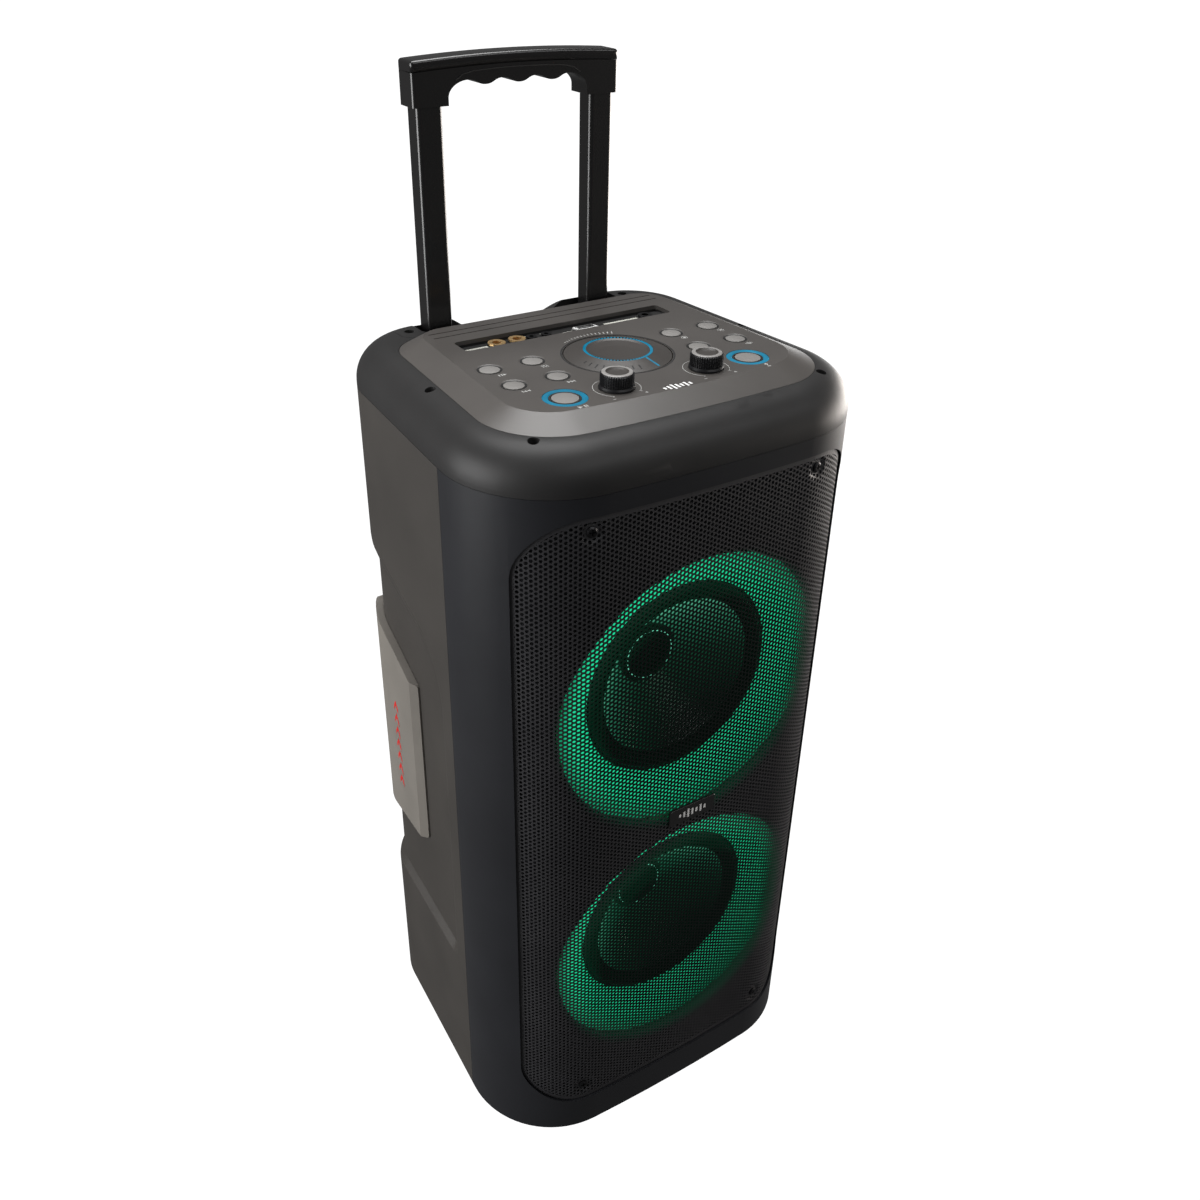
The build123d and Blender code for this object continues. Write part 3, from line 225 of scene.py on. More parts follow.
def glow(name, colour, strength, unlit=0.3):
    """Frosted light guide: its glow varies a little with the lamps behind it.

    unlit is how much of its colour the guide has by itself.
    """
    shader = Shader(name)
    patch = shader.noise(90.0, 2.0)
    stops = ((0.2, scaled(colour, unlit)), (0.8, scaled(colour, unlit * 1.3)))
    shader.set(Base_Color=shader.ramp(patch, stops))
    stops = ((0.25, scaled(colour, 0.6)), (0.75, colour))
    shader.set(Emission_Color=shader.ramp(patch, stops))
    shader.bsdf.inputs["Emission Strength"].default_value = strength
    shader.bsdf.inputs["Roughness"].default_value = 0.35
    return shader.material


def box_centre(node):
    """Middle of a CAD node's box, in metres."""
    low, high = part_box(node)
    return (low + high) / 2


woofer_centres = [box_centre(f"cone_{which}") for which in ("upper", "lower")]
GREEN = (0.008, 0.36, 0.17)
BLUE = (0.0, 0.25, 0.43)


def ring_distance(shader, centre):
    """Distance from one woofer's axis, in the plane of the baffle."""
    split = shader.node("ShaderNodeSeparateXYZ", Vector=shader.place)
    up = shader.maths("SUBTRACT", split.outputs["Z"], centre[2])
    square = shader.maths("MULTIPLY", up, up)
    across = shader.maths("MULTIPLY_ADD", split.outputs["X"], split.outputs["X"], square)
    return shader.maths("SQRT", across)


def nearest_ring(shader):
    """Distance from the nearer of the two woofer axes."""
    distances = [ring_distance(shader, centre) for centre in woofer_centres]
    return shader.maths("MINIMUM", *distances)


def lit_funnel():
    """The light rings: bright over the inner half of the funnel, fading to its outer lip."""
    shader = Shader("lit_funnel")
    share = shader.rise(nearest_ring(shader), 80.8, 113)
    stops = (
        (0.0, scaled(GREEN, 0.75)),
        (0.1, scaled(GREEN, 1.0)),
        (0.58, scaled(GREEN, 0.95)),
        (0.8, scaled(GREEN, 0.62)),
        (1.0, scaled(GREEN, 0.3)),
    )
    shader.set(Base_Color=(0.02, 0.12, 0.07, 1), Emission_Color=shader.ramp(share, stops))
    shader.bsdf.inputs["Emission Strength"].default_value = 2.0
    fine = shader.noise(1500.0)
    shader.set(Roughness=shader.maths("MULTIPLY_ADD", fine, 0.2, 0.35))
    return shader.material


def grille_coat_and_painted_light():
    """Powder-coated steel, with painted shade over the woofers and a painted trace of the green light that
    its hole edges pick up.
    """
    shader = Shader("grille_coat_and_painted_light")
    fine = shader.noise(3000.0, 2.0)
    stops = ((0.3, (0.021, 0.0205, 0.023)), (0.7, (0.029, 0.0285, 0.031)))
    paint = shader.ramp(shader.noise(20.0), stops)
    shader.set(Roughness=shader.maths("MULTIPLY_ADD", fine, 0.2, 0.4))
    shader.set(Normal=shader.bump(fine, 0.02 * MM))
    radius = nearest_ring(shader)
    # painted shade: over the woofers the webs' colour and reflection are darkened, as the webs stand in
    # shadow against the light behind them
    painted_shade_factor = shader.rise(radius, 92, 120, 0.22)
    tint = shader.node("ShaderNodeVectorMath", Vector=paint)
    tint.operation = "SCALE"
    shader.put(tint.inputs["Scale"], painted_shade_factor)
    shader.set(Base_Color=tint.outputs[0])
    shader.set(Specular_IOR_Level=shader.maths("MULTIPLY", painted_shade_factor, 0.5))
    # painted light: a faint green glow on the webs over the rings, for the light that their hole edges
    # pick up
    share = shader.rise(radius, 60, 118)
    stops = (
        (0.3, (0, 0.001, 0.0005)),
        (0.42, (0.0, 0.007, 0.003)),
        (0.75, (0.0, 0.012, 0.005)),
        (0.92, (0, 0.003, 0.0015)),
        (1.0, (0, 0, 0)),
    )
    shader.set(Emission_Color=shader.ramp(share, stops))
    shader.bsdf.inputs["Emission Strength"].default_value = 1.0
    return shader.material


def cone_pulp_and_painted_spill():
    """Pressed and lacquered paper cone: faint rings, fibres and a painted glow for the light that spills
    on it.
    """
    shader = Shader("cone_pulp_and_painted_spill")
    radius = nearest_ring(shader)
    rings = shader.maths("SINE", shader.maths("MULTIPLY", radius, 1400.0))
    fibre = shader.noise(1400.0, 4.0, 0.7)
    stops = ((0.3, (0.016, 0.018, 0.017)), (0.7, (0.034, 0.038, 0.036)))
    shader.set(Base_Color=shader.ramp(fibre, stops))
    shader.set(Roughness=shader.maths("MULTIPLY_ADD", fibre, 0.14, 0.2))
    # painted light: an emission glow over the upper left of each cone stands in for the light that the lit
    # funnel spills there
    split = shader.node("ShaderNodeSeparateXYZ", Vector=shader.place)
    distances = []
    for centre in woofer_centres:
        above = shader.maths("SUBTRACT", split.outputs["Z"], centre[2])
        distances.append(shader.maths("ABSOLUTE", above))
    is_upper = shader.maths("LESS_THAN", *distances)
    gap = woofer_centres[0][2] - woofer_centres[1][2]
    middle_z = shader.maths("MULTIPLY_ADD", is_upper, gap, woofer_centres[1][2])
    up = shader.maths("SUBTRACT", split.outputs["Z"], middle_z)
    lean = shader.maths("MULTIPLY_ADD", split.outputs["X"], -0.45, shader.maths("MULTIPLY", up, 0.89))
    cone_radius = 68 * MM
    share = shader.maths("MULTIPLY_ADD", lean, 0.5 / cone_radius, 0.5)
    spill = (
        (0.1, (0, 0.002, 0.001)),
        (0.35, (0.004, 0.045, 0.022)),
        (0.55, (0.02, 0.15, 0.085)),
        (0.8, (0.07, 0.32, 0.2)),
    )
    shader.set(Emission_Color=shader.ramp(share, spill))
    shader.bsdf.inputs["Emission Strength"].default_value = 1.0
    under = shader.bump(fibre, 0.03 * MM)
    shader.set(Normal=shader.bump(rings, 0.05 * MM, under))
    return shader.material


def tread_rubber():
    """Tyre rubber with moulded cross grooves, drawn by the angle round the wheel."""
    shader = Shader("tread_rubber")
    wheel = box_centre("tyre_left")
    split = shader.node("ShaderNodeSeparateXYZ", Vector=shader.place)
    back = shader.maths("SUBTRACT", split.outputs["Y"], wheel.y)
    up = shader.maths("SUBTRACT", split.outputs["Z"], wheel.z)
    turn = shader.maths("ARCTAN2", back, up)
    grooves = 48.0
    groove = shader.maths("SINE", shader.maths("MULTIPLY", turn, grooves))
    fine = shader.noise(1600.0)
    stops = ((0.3, (0.012, 0.012, 0.012)), (0.7, (0.02, 0.02, 0.02)))
    shader.set(Base_Color=shader.ramp(fine, stops))
    shader.set(Roughness=shader.maths("MULTIPLY_ADD", fine, 0.2, 0.65))
    under = shader.bump(fine, 0.05 * MM)
    shader.set(Normal=shader.bump(groove, 0.4 * MM, under))
    return shader.material


looks = {
    "front": plastic("front_plastic", (0.0125, 0.013, 0.0155), 0.42, 0.02, 2200.0),
    "shell": plastic("shell_plastic", (0.037, 0.0335, 0.03), 0.5, 0.05, 1500.0),
    "cap": plastic("cap_plastic", (0.02, 0.0195, 0.0195), 0.46, 0.04, 1500.0, shine=0.22),
    "panel": plastic("panel_plastic", (0.06, 0.055, 0.051), 0.38, 0.012, 3000.0, shine=0.45),
    "dial": plastic("dial_plastic", (0.042, 0.038, 0.035), 0.38, 0.01, 3000.0, shine=0.35),
    "gloss": plastic("gloss_plastic", (0.0065, 0.0062, 0.0062), 0.24, 0.003, 2000.0, coat=0.08, shine=0.5),
    "plate": plastic("plate_plastic", (0.165, 0.152, 0.135), 0.5, 0.03, 2000.0),
    "button": plastic("button_plastic", (0.19, 0.183, 0.175), 0.36, 0.01, 3000.0),
    "knob": plastic("knob_plastic", (0.006, 0.006, 0.007), 0.38, 0.004, 3000.0),
    "dark": plastic("dark_plastic", (0.01, 0.01, 0.01), 0.6, 0.03, 1800.0),
    "rubber": plastic("rubber", (0.01, 0.01, 0.01), 0.7, 0.05, 1600.0),
    "board": plastic("circuit_board", (0.01, 0.09, 0.03), 0.35, 0.02, 700.0, 0.4),
    "battery": plastic("battery_sleeve", (0.02, 0.06, 0.25), 0.3, 0.01, 900.0),
    "print": plastic("print_ink", (0.34, 0.34, 0.33), 0.5, 0.005, 3000.0),
    "bright": plastic("white_ink", (0.75, 0.75, 0.74), 0.5, 0.005, 3000.0, 0.04),
    "label": plastic("label_film", (0.5, 0.5, 0.45), 0.35, 0.01, 2000.0),
    "red": plastic("red_ink", (0.5, 0.012, 0.01), 0.45, 0.005, 2000.0),
    "steel": metal("steel", (0.5, 0.5, 0.5), 0.35),
    "black_steel": metal("black_steel", (0.03, 0.03, 0.032), 0.4),
    "brass": metal("brass", (0.85, 0.58, 0.28), 0.36),
    "ring_steel": plastic("satin_ring", (0.22, 0.212, 0.205), 0.36, 0.004, 2600.0, shine=0.5),
    "blue": glow("blue_light", BLUE, 0.95, 0.06),
    # painted highlight: a glowing band stands in for the highlight on each dust cap's rim
    "painted_rim_highlight": glow("painted_cap_rim_highlight", (0.12, 0.5, 0.34), 1.4),
    "funnel": lit_funnel(),
    "grille": grille_coat_and_painted_light(),
    "cone": cone_pulp_and_painted_spill(),
    "tread": tread_rubber(),
}

node_looks = {
    "front": "front_frame",
    "shell": "rear_shell bottom_plate",
    "cap": "top_cap handle_cover",
    "panel": "control_panel",
    "dial": "volume_knob",
    "gloss": "grip_upper grip_lower handle_poles grille_badge dust_cap_upper dust_cap_lower",
    "plate": "side_plate_left side_plate_right",
    "button": "mode_button equaliser_button previous_button next_button record_button lights_button "
    "echo_button voice_button play_button microphone_button",
    "dark": "baffle port_panel bass_port mains_inlet handle_guides wheel_hub_left wheel_hub_right",
    "rubber": "surround_upper surround_lower rubber_feet",
    "tread": "tyre_left tyre_right",
    "board": "led_boards control_board amplifier_board power_supply",
    "battery": "battery_pack",
    "steel": "small_sockets rotary_controls wheel_axle woofer_magnets inlet_pins",
    "black_steel": "grille_screws cap_screws back_screws woofer_baskets",
    "brass": "microphone_jacks",
    "blue": "button_light_rings volume_light_ring",
    "funnel": "light_rings",
    "grille": "speaker_grille",
    "cone": "cone_upper cone_lower",
    "knob": "bass_knob treble_knob",
}


def dress(obj, look):
    """Gives an object one of the looks."""
    obj.data.materials.clear()
    obj.data.materials.append(looks[look])


for look, names in node_looks.items():
    for name in names.split():
        dress(nodes[name], look)


# ================================================================ mesh helpers
def new_piece(name, look, body, mesh):
    """Turns a bmesh into a piece that rides on a body."""
    bmesh.ops.recalc_face_normals(mesh, faces=mesh.faces)
    data = bpy.data.meshes.new(name)
    mesh.to_mesh(data)
    mesh.free()
    piece = bpy.data.objects.new(name, data)
    bpy.context.scene.collection.objects.link(piece)
    dress(piece, look)
    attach(piece, body)
    return piece


surfaces = {}


def drop(node, start, towards, lift):
    """Where a ray from start meets a CAD node, lifted off it by lift millimetres."""
    if node not in surfaces:
        mesh = nodes[node].data
        corners = [v.co.copy() for v in mesh.vertices]
        surfaces[node] = BVHTree.FromPolygons(corners, [tuple(p.vertices) for p in mesh.polygons])
    hit = surfaces[node].ray_cast(Vector(start) * MM, Vector(towards))[0]
    return None if hit is None else hit - Vector(towards) * lift * MM


PLAN, SIDE, FRONT = "plan", "side", "front"
# rays start this far out, in millimetres: above the speaker, and beyond its sides and front
ABOVE, BEYOND = 900, 300
INK_SINK = 0.15


def seat(node, view, u, v, lift):
    """A point of a print: u and v across the surface as seen from above, the side or the front."""
    if view == PLAN:
        return drop(node, (u, v, ABOVE), (0, 0, -1), lift)
    if view == FRONT:
        return drop(node, (u, -BEYOND, v), (0, 1, 0), lift)
    side = -1 if node.endswith("left") else 1
    return drop(node, (side * BEYOND, u, v), (-side, 0, 0), lift)


def prism(mesh, tops, feet):
    """A closed slab between two matching outlines."""
    top = [mesh.verts.new(p) for p in tops]
    foot = [mesh.verts.new(p) for p in feet]
    mesh.faces.new(top)
    mesh.faces.new(foot[::-1])
    for k in range(len(top)):
        j = (k + 1) % len(top)
        mesh.faces.new((top[k], foot[k], foot[j], top[j]))


def skin(mesh, rings):
    """Joins matching rings of vertices, one to the next."""
    for first, second in zip(rings, rings[1:]):
        for k in range(len(first)):
            j = (k + 1) % len(first)
            mesh.faces.new((first[k], first[j], second[j], second[k]))


def loft(mesh, rings):
    """A closed skin through matching rings of vertices."""
    skin(mesh, rings)
    mesh.faces.new(rings[0][::-1])
    mesh.faces.new(rings[-1])


def printed(name, look, body, node, view, outlines, lift=0.12):
    """Thin raised ink on a CAD node's surface, from outlines in millimetres."""
    mesh = bmesh.new()
    for outline in outlines:
        tops = [seat(node, view, u, v, lift) for u, v in outline]
        feet = [seat(node, view, u, v, -INK_SINK) for u, v in outline]
        if None not in tops and None not in feet:
            prism(mesh, tops, feet)
    new_piece(name, look, body, mesh)


def bar(u, v, width, height):
    """An upright rectangle with its middle at (u, v)."""
    half, tall = width / 2, height / 2
    return [(u - half, v - tall), (u + half, v - tall), (u + half, v + tall), (u - half, v + tall)]


def disc(u, v, radius, steps=16):
    """A round outline with its middle at (u, v)."""
    turns = [2 * math.pi * k / steps for k in range(steps)]
    return [(u + radius * math.cos(t), v + radius * math.sin(t)) for t in turns]


def ray(u, v, near, far, degrees, width):
    """A straight bar that points away from (u, v)."""
    t = math.radians(degrees)
    along, across = (math.cos(t), math.sin(t)), (-math.sin(t) * width / 2, math.cos(t) * width / 2)
    ends = ((near, -1), (far, -1), (far, 1), (near, 1))
    return [(u + r * along[0] + s * across[0], v + r * along[1] + s * across[1]) for r, s in ends]


def arc(u, v, radius, width, start, end, step=9.0):
    """A curved band round (u, v), as short pieces of about step degrees each."""
    count = max(1, int(abs(end - start) / step))
    low, high = radius - width / 2, radius + width / 2
    found = []
    for k in range(count):
        a = math.radians(start + (end - start) * k / count)
        b = math.radians(start + (end - start) * (k + 1) / count)
        corners = ((low, a), (high, a), (high, b), (low, b))
        found.append([(u + r * math.cos(t), v + r * math.sin(t)) for r, t in corners])
    return found


def arrow(u, v, size, way=1):
    """A filled triangle that points along u, or against it where way is -1."""
    back, tip, half = u - way * size / 2, u + way * size / 2, size * 0.6
    return [(back, v - half), (tip, v), (back, v + half)]


def lathe(mesh, profile, x, y, steps, shape=None):
    """Turns (radius, height) points about an upright axis; shape may change a radius."""
    rings = []
    for row, (radius, height) in enumerate(profile):
        ring = []
        for k in range(steps):
            turn = 2 * math.pi * k / steps
            r = radius if shape is None else shape(row, k, radius)
            place = (x + r * math.cos(turn), y + r * math.sin(turn), height)
            ring.append(mesh.verts.new([length * MM for length in place]))
        rings.append(ring)
    loft(mesh, rings)


# ================================================================ perforated grille
# The sheet follows the cabinet's plan: a shallow bow in front, then a round corner each side.
BOW_RADIUS = 1811.5
BOW_CENTRE_Y = 1661.5
CORNER_RADIUS = 78.0
CORNER_CENTRE = (79.2, -70.2)
CORNER_START = math.asin(CORNER_CENTRE[0] / (BOW_RADIUS - CORNER_RADIUS))
SHEET_INSET = 2.2
SHEET_THICKNESS = 1.0
HOLE_PITCH = 3.64
HOLE_RADIUS = 1.42
grille_low, grille_high = (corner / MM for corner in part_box("speaker_grille"))
GRILLE_HALF = grille_high.x
GRILLE_HALF_HEIGHT = (grille_high.z - grille_low.z) / 2
GRILLE_MIDDLE = (grille_high.z + grille_low.z) / 2
GRILLE_CORNER = 44.2
HEM = 3.6
BOW_LENGTH = (BOW_RADIUS - SHEET_INSET) * CORNER_START


def sheet_angle(along):
    """Direction of the sheet's normal at a length along its plan from the middle."""
    bow = min(abs(along), BOW_LENGTH) / (BOW_RADIUS - SHEET_INSET)
    rest = max(0.0, abs(along) - BOW_LENGTH) / (CORNER_RADIUS - SHEET_INSET)
    return bow + rest


def sheet_point(along, z, depth):
    """Point on the sheet, depth behind its outer face, in metres."""
    angle = sheet_angle(along)
    if abs(along) <= BOW_LENGTH:
        radius = BOW_RADIUS - SHEET_INSET - depth
        x, y = radius * math.sin(angle), BOW_CENTRE_Y - radius * math.cos(angle)
    else:
        radius = CORNER_RADIUS - SHEET_INSET - depth
        x = CORNER_CENTRE[0] + radius * math.sin(angle)
        y = CORNER_CENTRE[1] - radius * math.cos(angle)
    return Vector((math.copysign(x, along) * MM, y * MM, z * MM))


def length_along(x):
    """Length along the plan from the middle to x on the sheet's outer face."""
    bow, corner = BOW_RADIUS - SHEET_INSET, CORNER_RADIUS - SHEET_INSET
    start = CORNER_CENTRE[0] + corner * math.sin(CORNER_START)
    if abs(x) <= start:
        return math.copysign(bow * math.asin(abs(x) / bow), x)
    angle = math.asin((abs(x) - CORNER_CENTRE[0]) / corner)
    return math.copysign(BOW_LENGTH + (angle - CORNER_START) * corner, x)


def edge_distance(along, z):
    """Distance inside the sheet's rounded outline, measured along the sheet."""
    point = sheet_point(along, z, 0) / MM
    across = abs(point.x) - (GRILLE_HALF - GRILLE_CORNER)
    up = abs(z - GRILLE_MIDDLE) - (GRILLE_HALF_HEIGHT - GRILLE_CORNER)
    slope = math.cos(sheet_angle(along))
    if across > 0 and up > 0:
        reach = math.hypot(across, up)
        return (GRILLE_CORNER - reach) / math.hypot(across / reach * slope, up / reach)
    if across > up * slope:
        return (GRILLE_CORNER - across) / slope
    return GRILLE_CORNER - up


SCREW_X = 93.5
SCREW_HEIGHTS = (56.5, 590.2)
SCREW_ANGLE = math.asin((SCREW_X - CORNER_CENTRE[0]) / CORNER_RADIUS)
SCREW_ALONG = BOW_LENGTH + (SCREW_ANGLE - CORNER_START) * (CORNER_RADIUS - SHEET_INSET)
screw_spots = [(side * SCREW_ALONG, z) for side in (-1, 1) for z in SCREW_HEIGHTS]
DIMPLE_REACH, DIMPLE_SLOPE, DIMPLE_DEPTH = 9.5, 4.5, 1.6
SCREW_CLEARANCE = 3.6
UNDER_HEM = 2.4


def screw_distance(along, z):
    """Distance from the nearest screw."""
    return min(math.hypot(along - spot[0], z - spot[1]) for spot in screw_spots)


def dimple_depth(along, z):
    """How far the sheet is pressed in round the nearest screw."""
    share = max(0.0, min(1.0, (DIMPLE_REACH - screw_distance(along, z)) / DIMPLE_SLOPE))
    return DIMPLE_DEPTH * share * share * (3 - 2 * share)


def hexagon(along, z, radius):
    """The corners of one cell or hole."""
    turns = [math.radians(60 * k) for k in range(6)]
    return [(along + radius * math.cos(t), z + radius * math.sin(t)) for t in turns]


def perforated(name, low, high):
    """One band of the sheet, as a closed mesh of hexagonal cells with their holes."""
    vertices, faces, known = [], [], {}

    def vertex(point, depth):
        """Index of a corner, the same for the cells that share it."""
        key = (round(point[0], 3), round(point[1], 3), depth)
        if key not in known:
            known[key] = len(vertices)
            vertices.append(sheet_point(point[0], point[1], depth + dimple_depth(*point)))
        return known[key]

    column_step = HOLE_PITCH * math.sqrt(3) / 2
    columns = int(length_along(GRILLE_HALF) / column_step) + 1
    rows = int(2 * GRILLE_HALF_HEIGHT / HOLE_PITCH) + 2
    sides = {}
    for column in range(-columns, columns + 1):
        for row in range(rows):
            along = column * column_step
            z = grille_low.z + HOLE_PITCH * (row + 0.5 * (column % 2))
            if not low <= z < high:
                continue
            if edge_distance(along, z) < HEM - UNDER_HEM or screw_distance(along, z) < SCREW_CLEARANCE:
                continue
            outer = hexagon(along, z, HOLE_PITCH / math.sqrt(3))
            inner = hexagon(along, z, HOLE_RADIUS)
            for k in range(6):
                corners = outer[k], outer[(k + 1) % 6], inner[(k + 1) % 6], inner[k]
                front = [vertex(p, 0.0) for p in corners]
                back = [vertex(p, SHEET_THICKNESS) for p in corners]
                faces.append(front)
                faces.append(back[::-1])
                faces.append([front[3], front[2], back[2], back[3]])
                edge = tuple(sorted(front[:2]))
                sides.setdefault(edge, []).append([front[1], front[0], back[0], back[1]])
    # a cell side that no neighbour shares is on the rim, and is closed by a wall
    faces += [found[0] for found in sides.values() if len(found) == 1]
    data = bpy.data.meshes.new(name)
    data.from_pydata(vertices, [], faces)
    piece = bpy.data.objects.new(name, data)
    bpy.context.scene.collection.objects.link(piece)
    dress(piece, "grille")
    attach(piece, "cabinet")
    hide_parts("speaker_grille")


CORNER_STEPS = 16
HEM_STEP = 6
WASHER_STEPS = 24
# points of the two sections, as (inset or radius, depth behind the sheet's face)
HEM_SECTION = ((0.0, 1.9), (0.0, 0.25), (0.25, -0.12), (HEM, -0.12), (HEM, 0.9))
WASHER_SECTION = ((5.6, 1.9), (5.2, 1.55), (1.7, 1.55), (1.7, 2.6), (5.6, 2.6))


def hem_path():
    """Points (x, z, direction outwards) round the sheet's outline, from its middle."""
    straight_x, straight_z = GRILLE_HALF - GRILLE_CORNER, GRILLE_HALF_HEIGHT - GRILLE_CORNER
    outline = []
    for quarter in range(4):
        side_x = 1 if quarter in (0, 3) else -1
        side_z = 1 if quarter in (0, 1) else -1
        for step in range(CORNER_STEPS + 1):
            angle = math.pi / 2 * (quarter + step / CORNER_STEPS)
            x = side_x * straight_x + GRILLE_CORNER * math.cos(angle)
            z = side_z * straight_z + GRILLE_CORNER * math.sin(angle)
            outline.append((x, z, angle))
    dense = []
    for (x0, z0, angle), (x1, z1, _) in zip(outline, outline[1:] + outline[:1]):
        steps = max(1, int(math.hypot(x1 - x0, z1 - z0) / HEM_STEP))
        for i in range(steps):
            share = i / steps
            dense.append((x0 + (x1 - x0) * share, z0 + (z1 - z0) * share, angle))
    return dense


def grille_hem():
    """The folded edge round the sheet, and the pressed washers under its screws."""
    mesh = bmesh.new()
    rings = []
    for x, z, angle in hem_path():
        along = length_along(x)
        slope = math.cos(sheet_angle(along))
        inward = Vector((-math.cos(angle) * slope, -math.sin(angle)))
        inward.normalize()
        ring = []
        for inset, depth in HEM_SECTION:
            place = (along + inward.x * inset, GRILLE_MIDDLE + z + inward.y * inset)
            ring.append(mesh.verts.new(sheet_point(*place, depth)))
        rings.append(ring)
    for first, second in zip(rings, rings[1:] + rings[:1]):
        for k in range(len(HEM_SECTION)):
            j = (k + 1) % len(HEM_SECTION)
            mesh.faces.new((first[k], second[k], second[j], first[j]))
    for along, z in screw_spots:
        circles = []
        for radius, depth in WASHER_SECTION:
            circle = disc(along, z, radius, WASHER_STEPS)
            circles.append([mesh.verts.new(sheet_point(*spot, depth)) for spot in circle])
        skin(mesh, circles + circles[:1])
    hem = new_piece("grille_hem", "grille", "cabinet", mesh)
    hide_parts("speaker_grille")


BANDS = 4
for band in range(BANDS):
    band_low = grille_low.z + 2 * GRILLE_HALF_HEIGHT * band / BANDS
    band_high = grille_low.z + 2 * GRILLE_HALF_HEIGHT * (band + 1) / BANDS
    if band == BANDS - 1:
        band_high += 1.0
    perforated(f"grille_sheet_{band}", band_low, band_high)
grille_hem()

# ================================================================ control panel prints
INK = 0.5
PLAIN_BUTTONS = ("mode", "equaliser", "previous", "next", "record", "lights", "echo", "voice")
LIT_BUTTONS = ("play", "microphone")
TONE_KNOBS = ("bass", "treble")


def middle(node):
    """Middle of a CAD node in plan, in millimetres."""
    low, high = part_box(node)
    return (low.x + high.x) / 2 / MM, (low.y + high.y) / 2 / MM


def icon(name, u, v):
    """A small generic sign for one button, round (u, v), in millimetres."""
    if name == "mode":
        return [bar(u - 2, v, 0.9, 3), bar(u, v, 0.9, 3), arrow(u + 2.4, v, 2.4)]
    if name == "equaliser":
        return [bar(u + 1.8 * k, v, 0.6, 4) for k in (-1, 0, 1)] + [
            bar(u + 1.8 * k, v + rise, 1.4, 0.9) for k, rise in ((-1, 0.8), (0, -0.9), (1, 0.2))
        ]
    if name == "previous":
        return [arrow(u - 1.3, v, 2.4, -1), arrow(u + 1.3, v, 2.4, -1), bar(u - 3.0, v, 0.6, 3)]
    if name == "next":
        return [arrow(u - 1.3, v, 2.4), arrow(u + 1.3, v, 2.4), bar(u + 3.0, v, 0.6, 3)]
    if name == "record":
        return [disc(u, v, 1.1)] + arc(u, v, 2.2, INK, 0, 360, 30)
    if name == "lights":
        return [disc(u, v, 1.1)] + [ray(u, v, 1.8, 3.0, 45 * k, INK) for k in range(8)]
    if name == "echo":
        waves = [arc(u - 2.4, v, radius, INK, -45, 45, 15) for radius in (2, 3.5, 5)]
        return [disc(u - 2.4, v, 0.7)] + sum(waves, [])
    if name == "voice":
        heights = (1.4, 3, 4.4, 2.6, 1.4)
        return [bar(u + 1.4 * (k - 2), v, 0.6, tall) for k, tall in enumerate(heights)]
    if name == "play":
        return [arrow(u - 1.8, v, 3.2), bar(u + 1.4, v, 0.8, 3.4), bar(u + 3.0, v, 0.8, 3.4)]
    # the microphone: a head, a stem and a foot
    return [disc(u, v + 1.2, 1.3), bar(u, v - 1.2, 0.8, 2.4), bar(u, v - 2.5, 2.6, 0.5)]


# the signs stand a little to the right of each button, below it
SIGN_SHIFT, SIGN_DROP, LIT_SIGN_DROP = 2.0, 13.6, 18.6
signs = []
for name in PLAIN_BUTTONS + LIT_BUTTONS:
    x, y = middle(f"{name}_button")
    signs += icon(name, x + SIGN_SHIFT, y - (LIT_SIGN_DROP if name in LIT_BUTTONS else SIGN_DROP))
for name in TONE_KNOBS:
    x, y = middle(f"{name}_knob")
    signs += arc(x, y, 16.0, 0.4, -50, 230)
    signs += [ray(x, y, 15.2, 17.4, degrees, INK) for degrees in (-50, 90, 230)]
    # a minus at one end of the scale and a plus at the other
    end, foot, length = 12.5, y - 16.5, 2.4
    signs += [bar(x - end, foot, length, INK), bar(x + end, foot, length, INK)]
    signs += [bar(x + end, foot, INK, length)]
volume_spot = middle("volume_knob")
# the scale of the volume knob grows towards its loud end
signs += [ray(*volume_spot, 42.2, 43.2 + 0.26 * k, 118 - 4.0 * k, 0.7) for k in range(15)]

# painted shade: dark rings round the volume knob and the plain buttons, and on the pocket floors of the
# lit buttons, where shadow falls in the gaps round them
SHADOW_WIDTH = 1.3
shadow_lines = arc(*volume_spot, 39.7, 1.2, 0, 360, 5)
for name in PLAIN_BUTTONS:
    shadow_lines += arc(*middle(f"{name}_button"), 8.1, SHADOW_WIDTH, 0, 360, 12)
printed("panel_painted_shadows", "dark", "cabinet", "control_panel", PLAN, shadow_lines, 0.06)
ring_shadow_lines = []
for name in LIT_BUTTONS:
    ring_shadow_lines += arc(*middle(f"{name}_button"), 10.2, SHADOW_WIDTH, 0, 360, 12)
printed("ring_painted_shadows", "dark", "cabinet", "control_panel", PLAN, ring_shadow_lines, 0.9)
printed("panel_signs", "print", "cabinet", "control_panel", PLAN, signs)


def level_meter(v, pitch, width):
    """A row of bars of uneven height round x = 0, in place of a name."""
    heights = (3.0, 5.4, 8.0, 6.2, 4.2, 6.8, 3.6)
    return [bar(pitch * (k - 3), v, width, tall) for k, tall in enumerate(heights)]


panel_bars = level_meter(-101.5, 3.4, 1.7)
printed("panel_mark", "bright", "cabinet", "control_panel", PLAN, panel_bars)
badge_bars = level_meter(324.0, 3.9, 1.8)
printed("badge_mark", "bright", "cabinet", "grille_badge", FRONT, badge_bars, 0.08)


def chevron(u, v):
    """One upward chevron of the side plates."""
    half, foot, tip, thick = 4.4, 4.5, 2.5, 4.6
    arms = [(u - half, v - foot), (u, v + tip), (u + half, v - foot)]
    return arms + [(p, q - thick) for p, q in arms[::-1]]


chevrons = [chevron(62.0, 352.0 - 13.0 * k) for k in range(7)]
for side in ("left", "right"):
    printed(f"plate_mark_{side}", "red", "cabinet", f"side_plate_{side}", SIDE, chevrons)

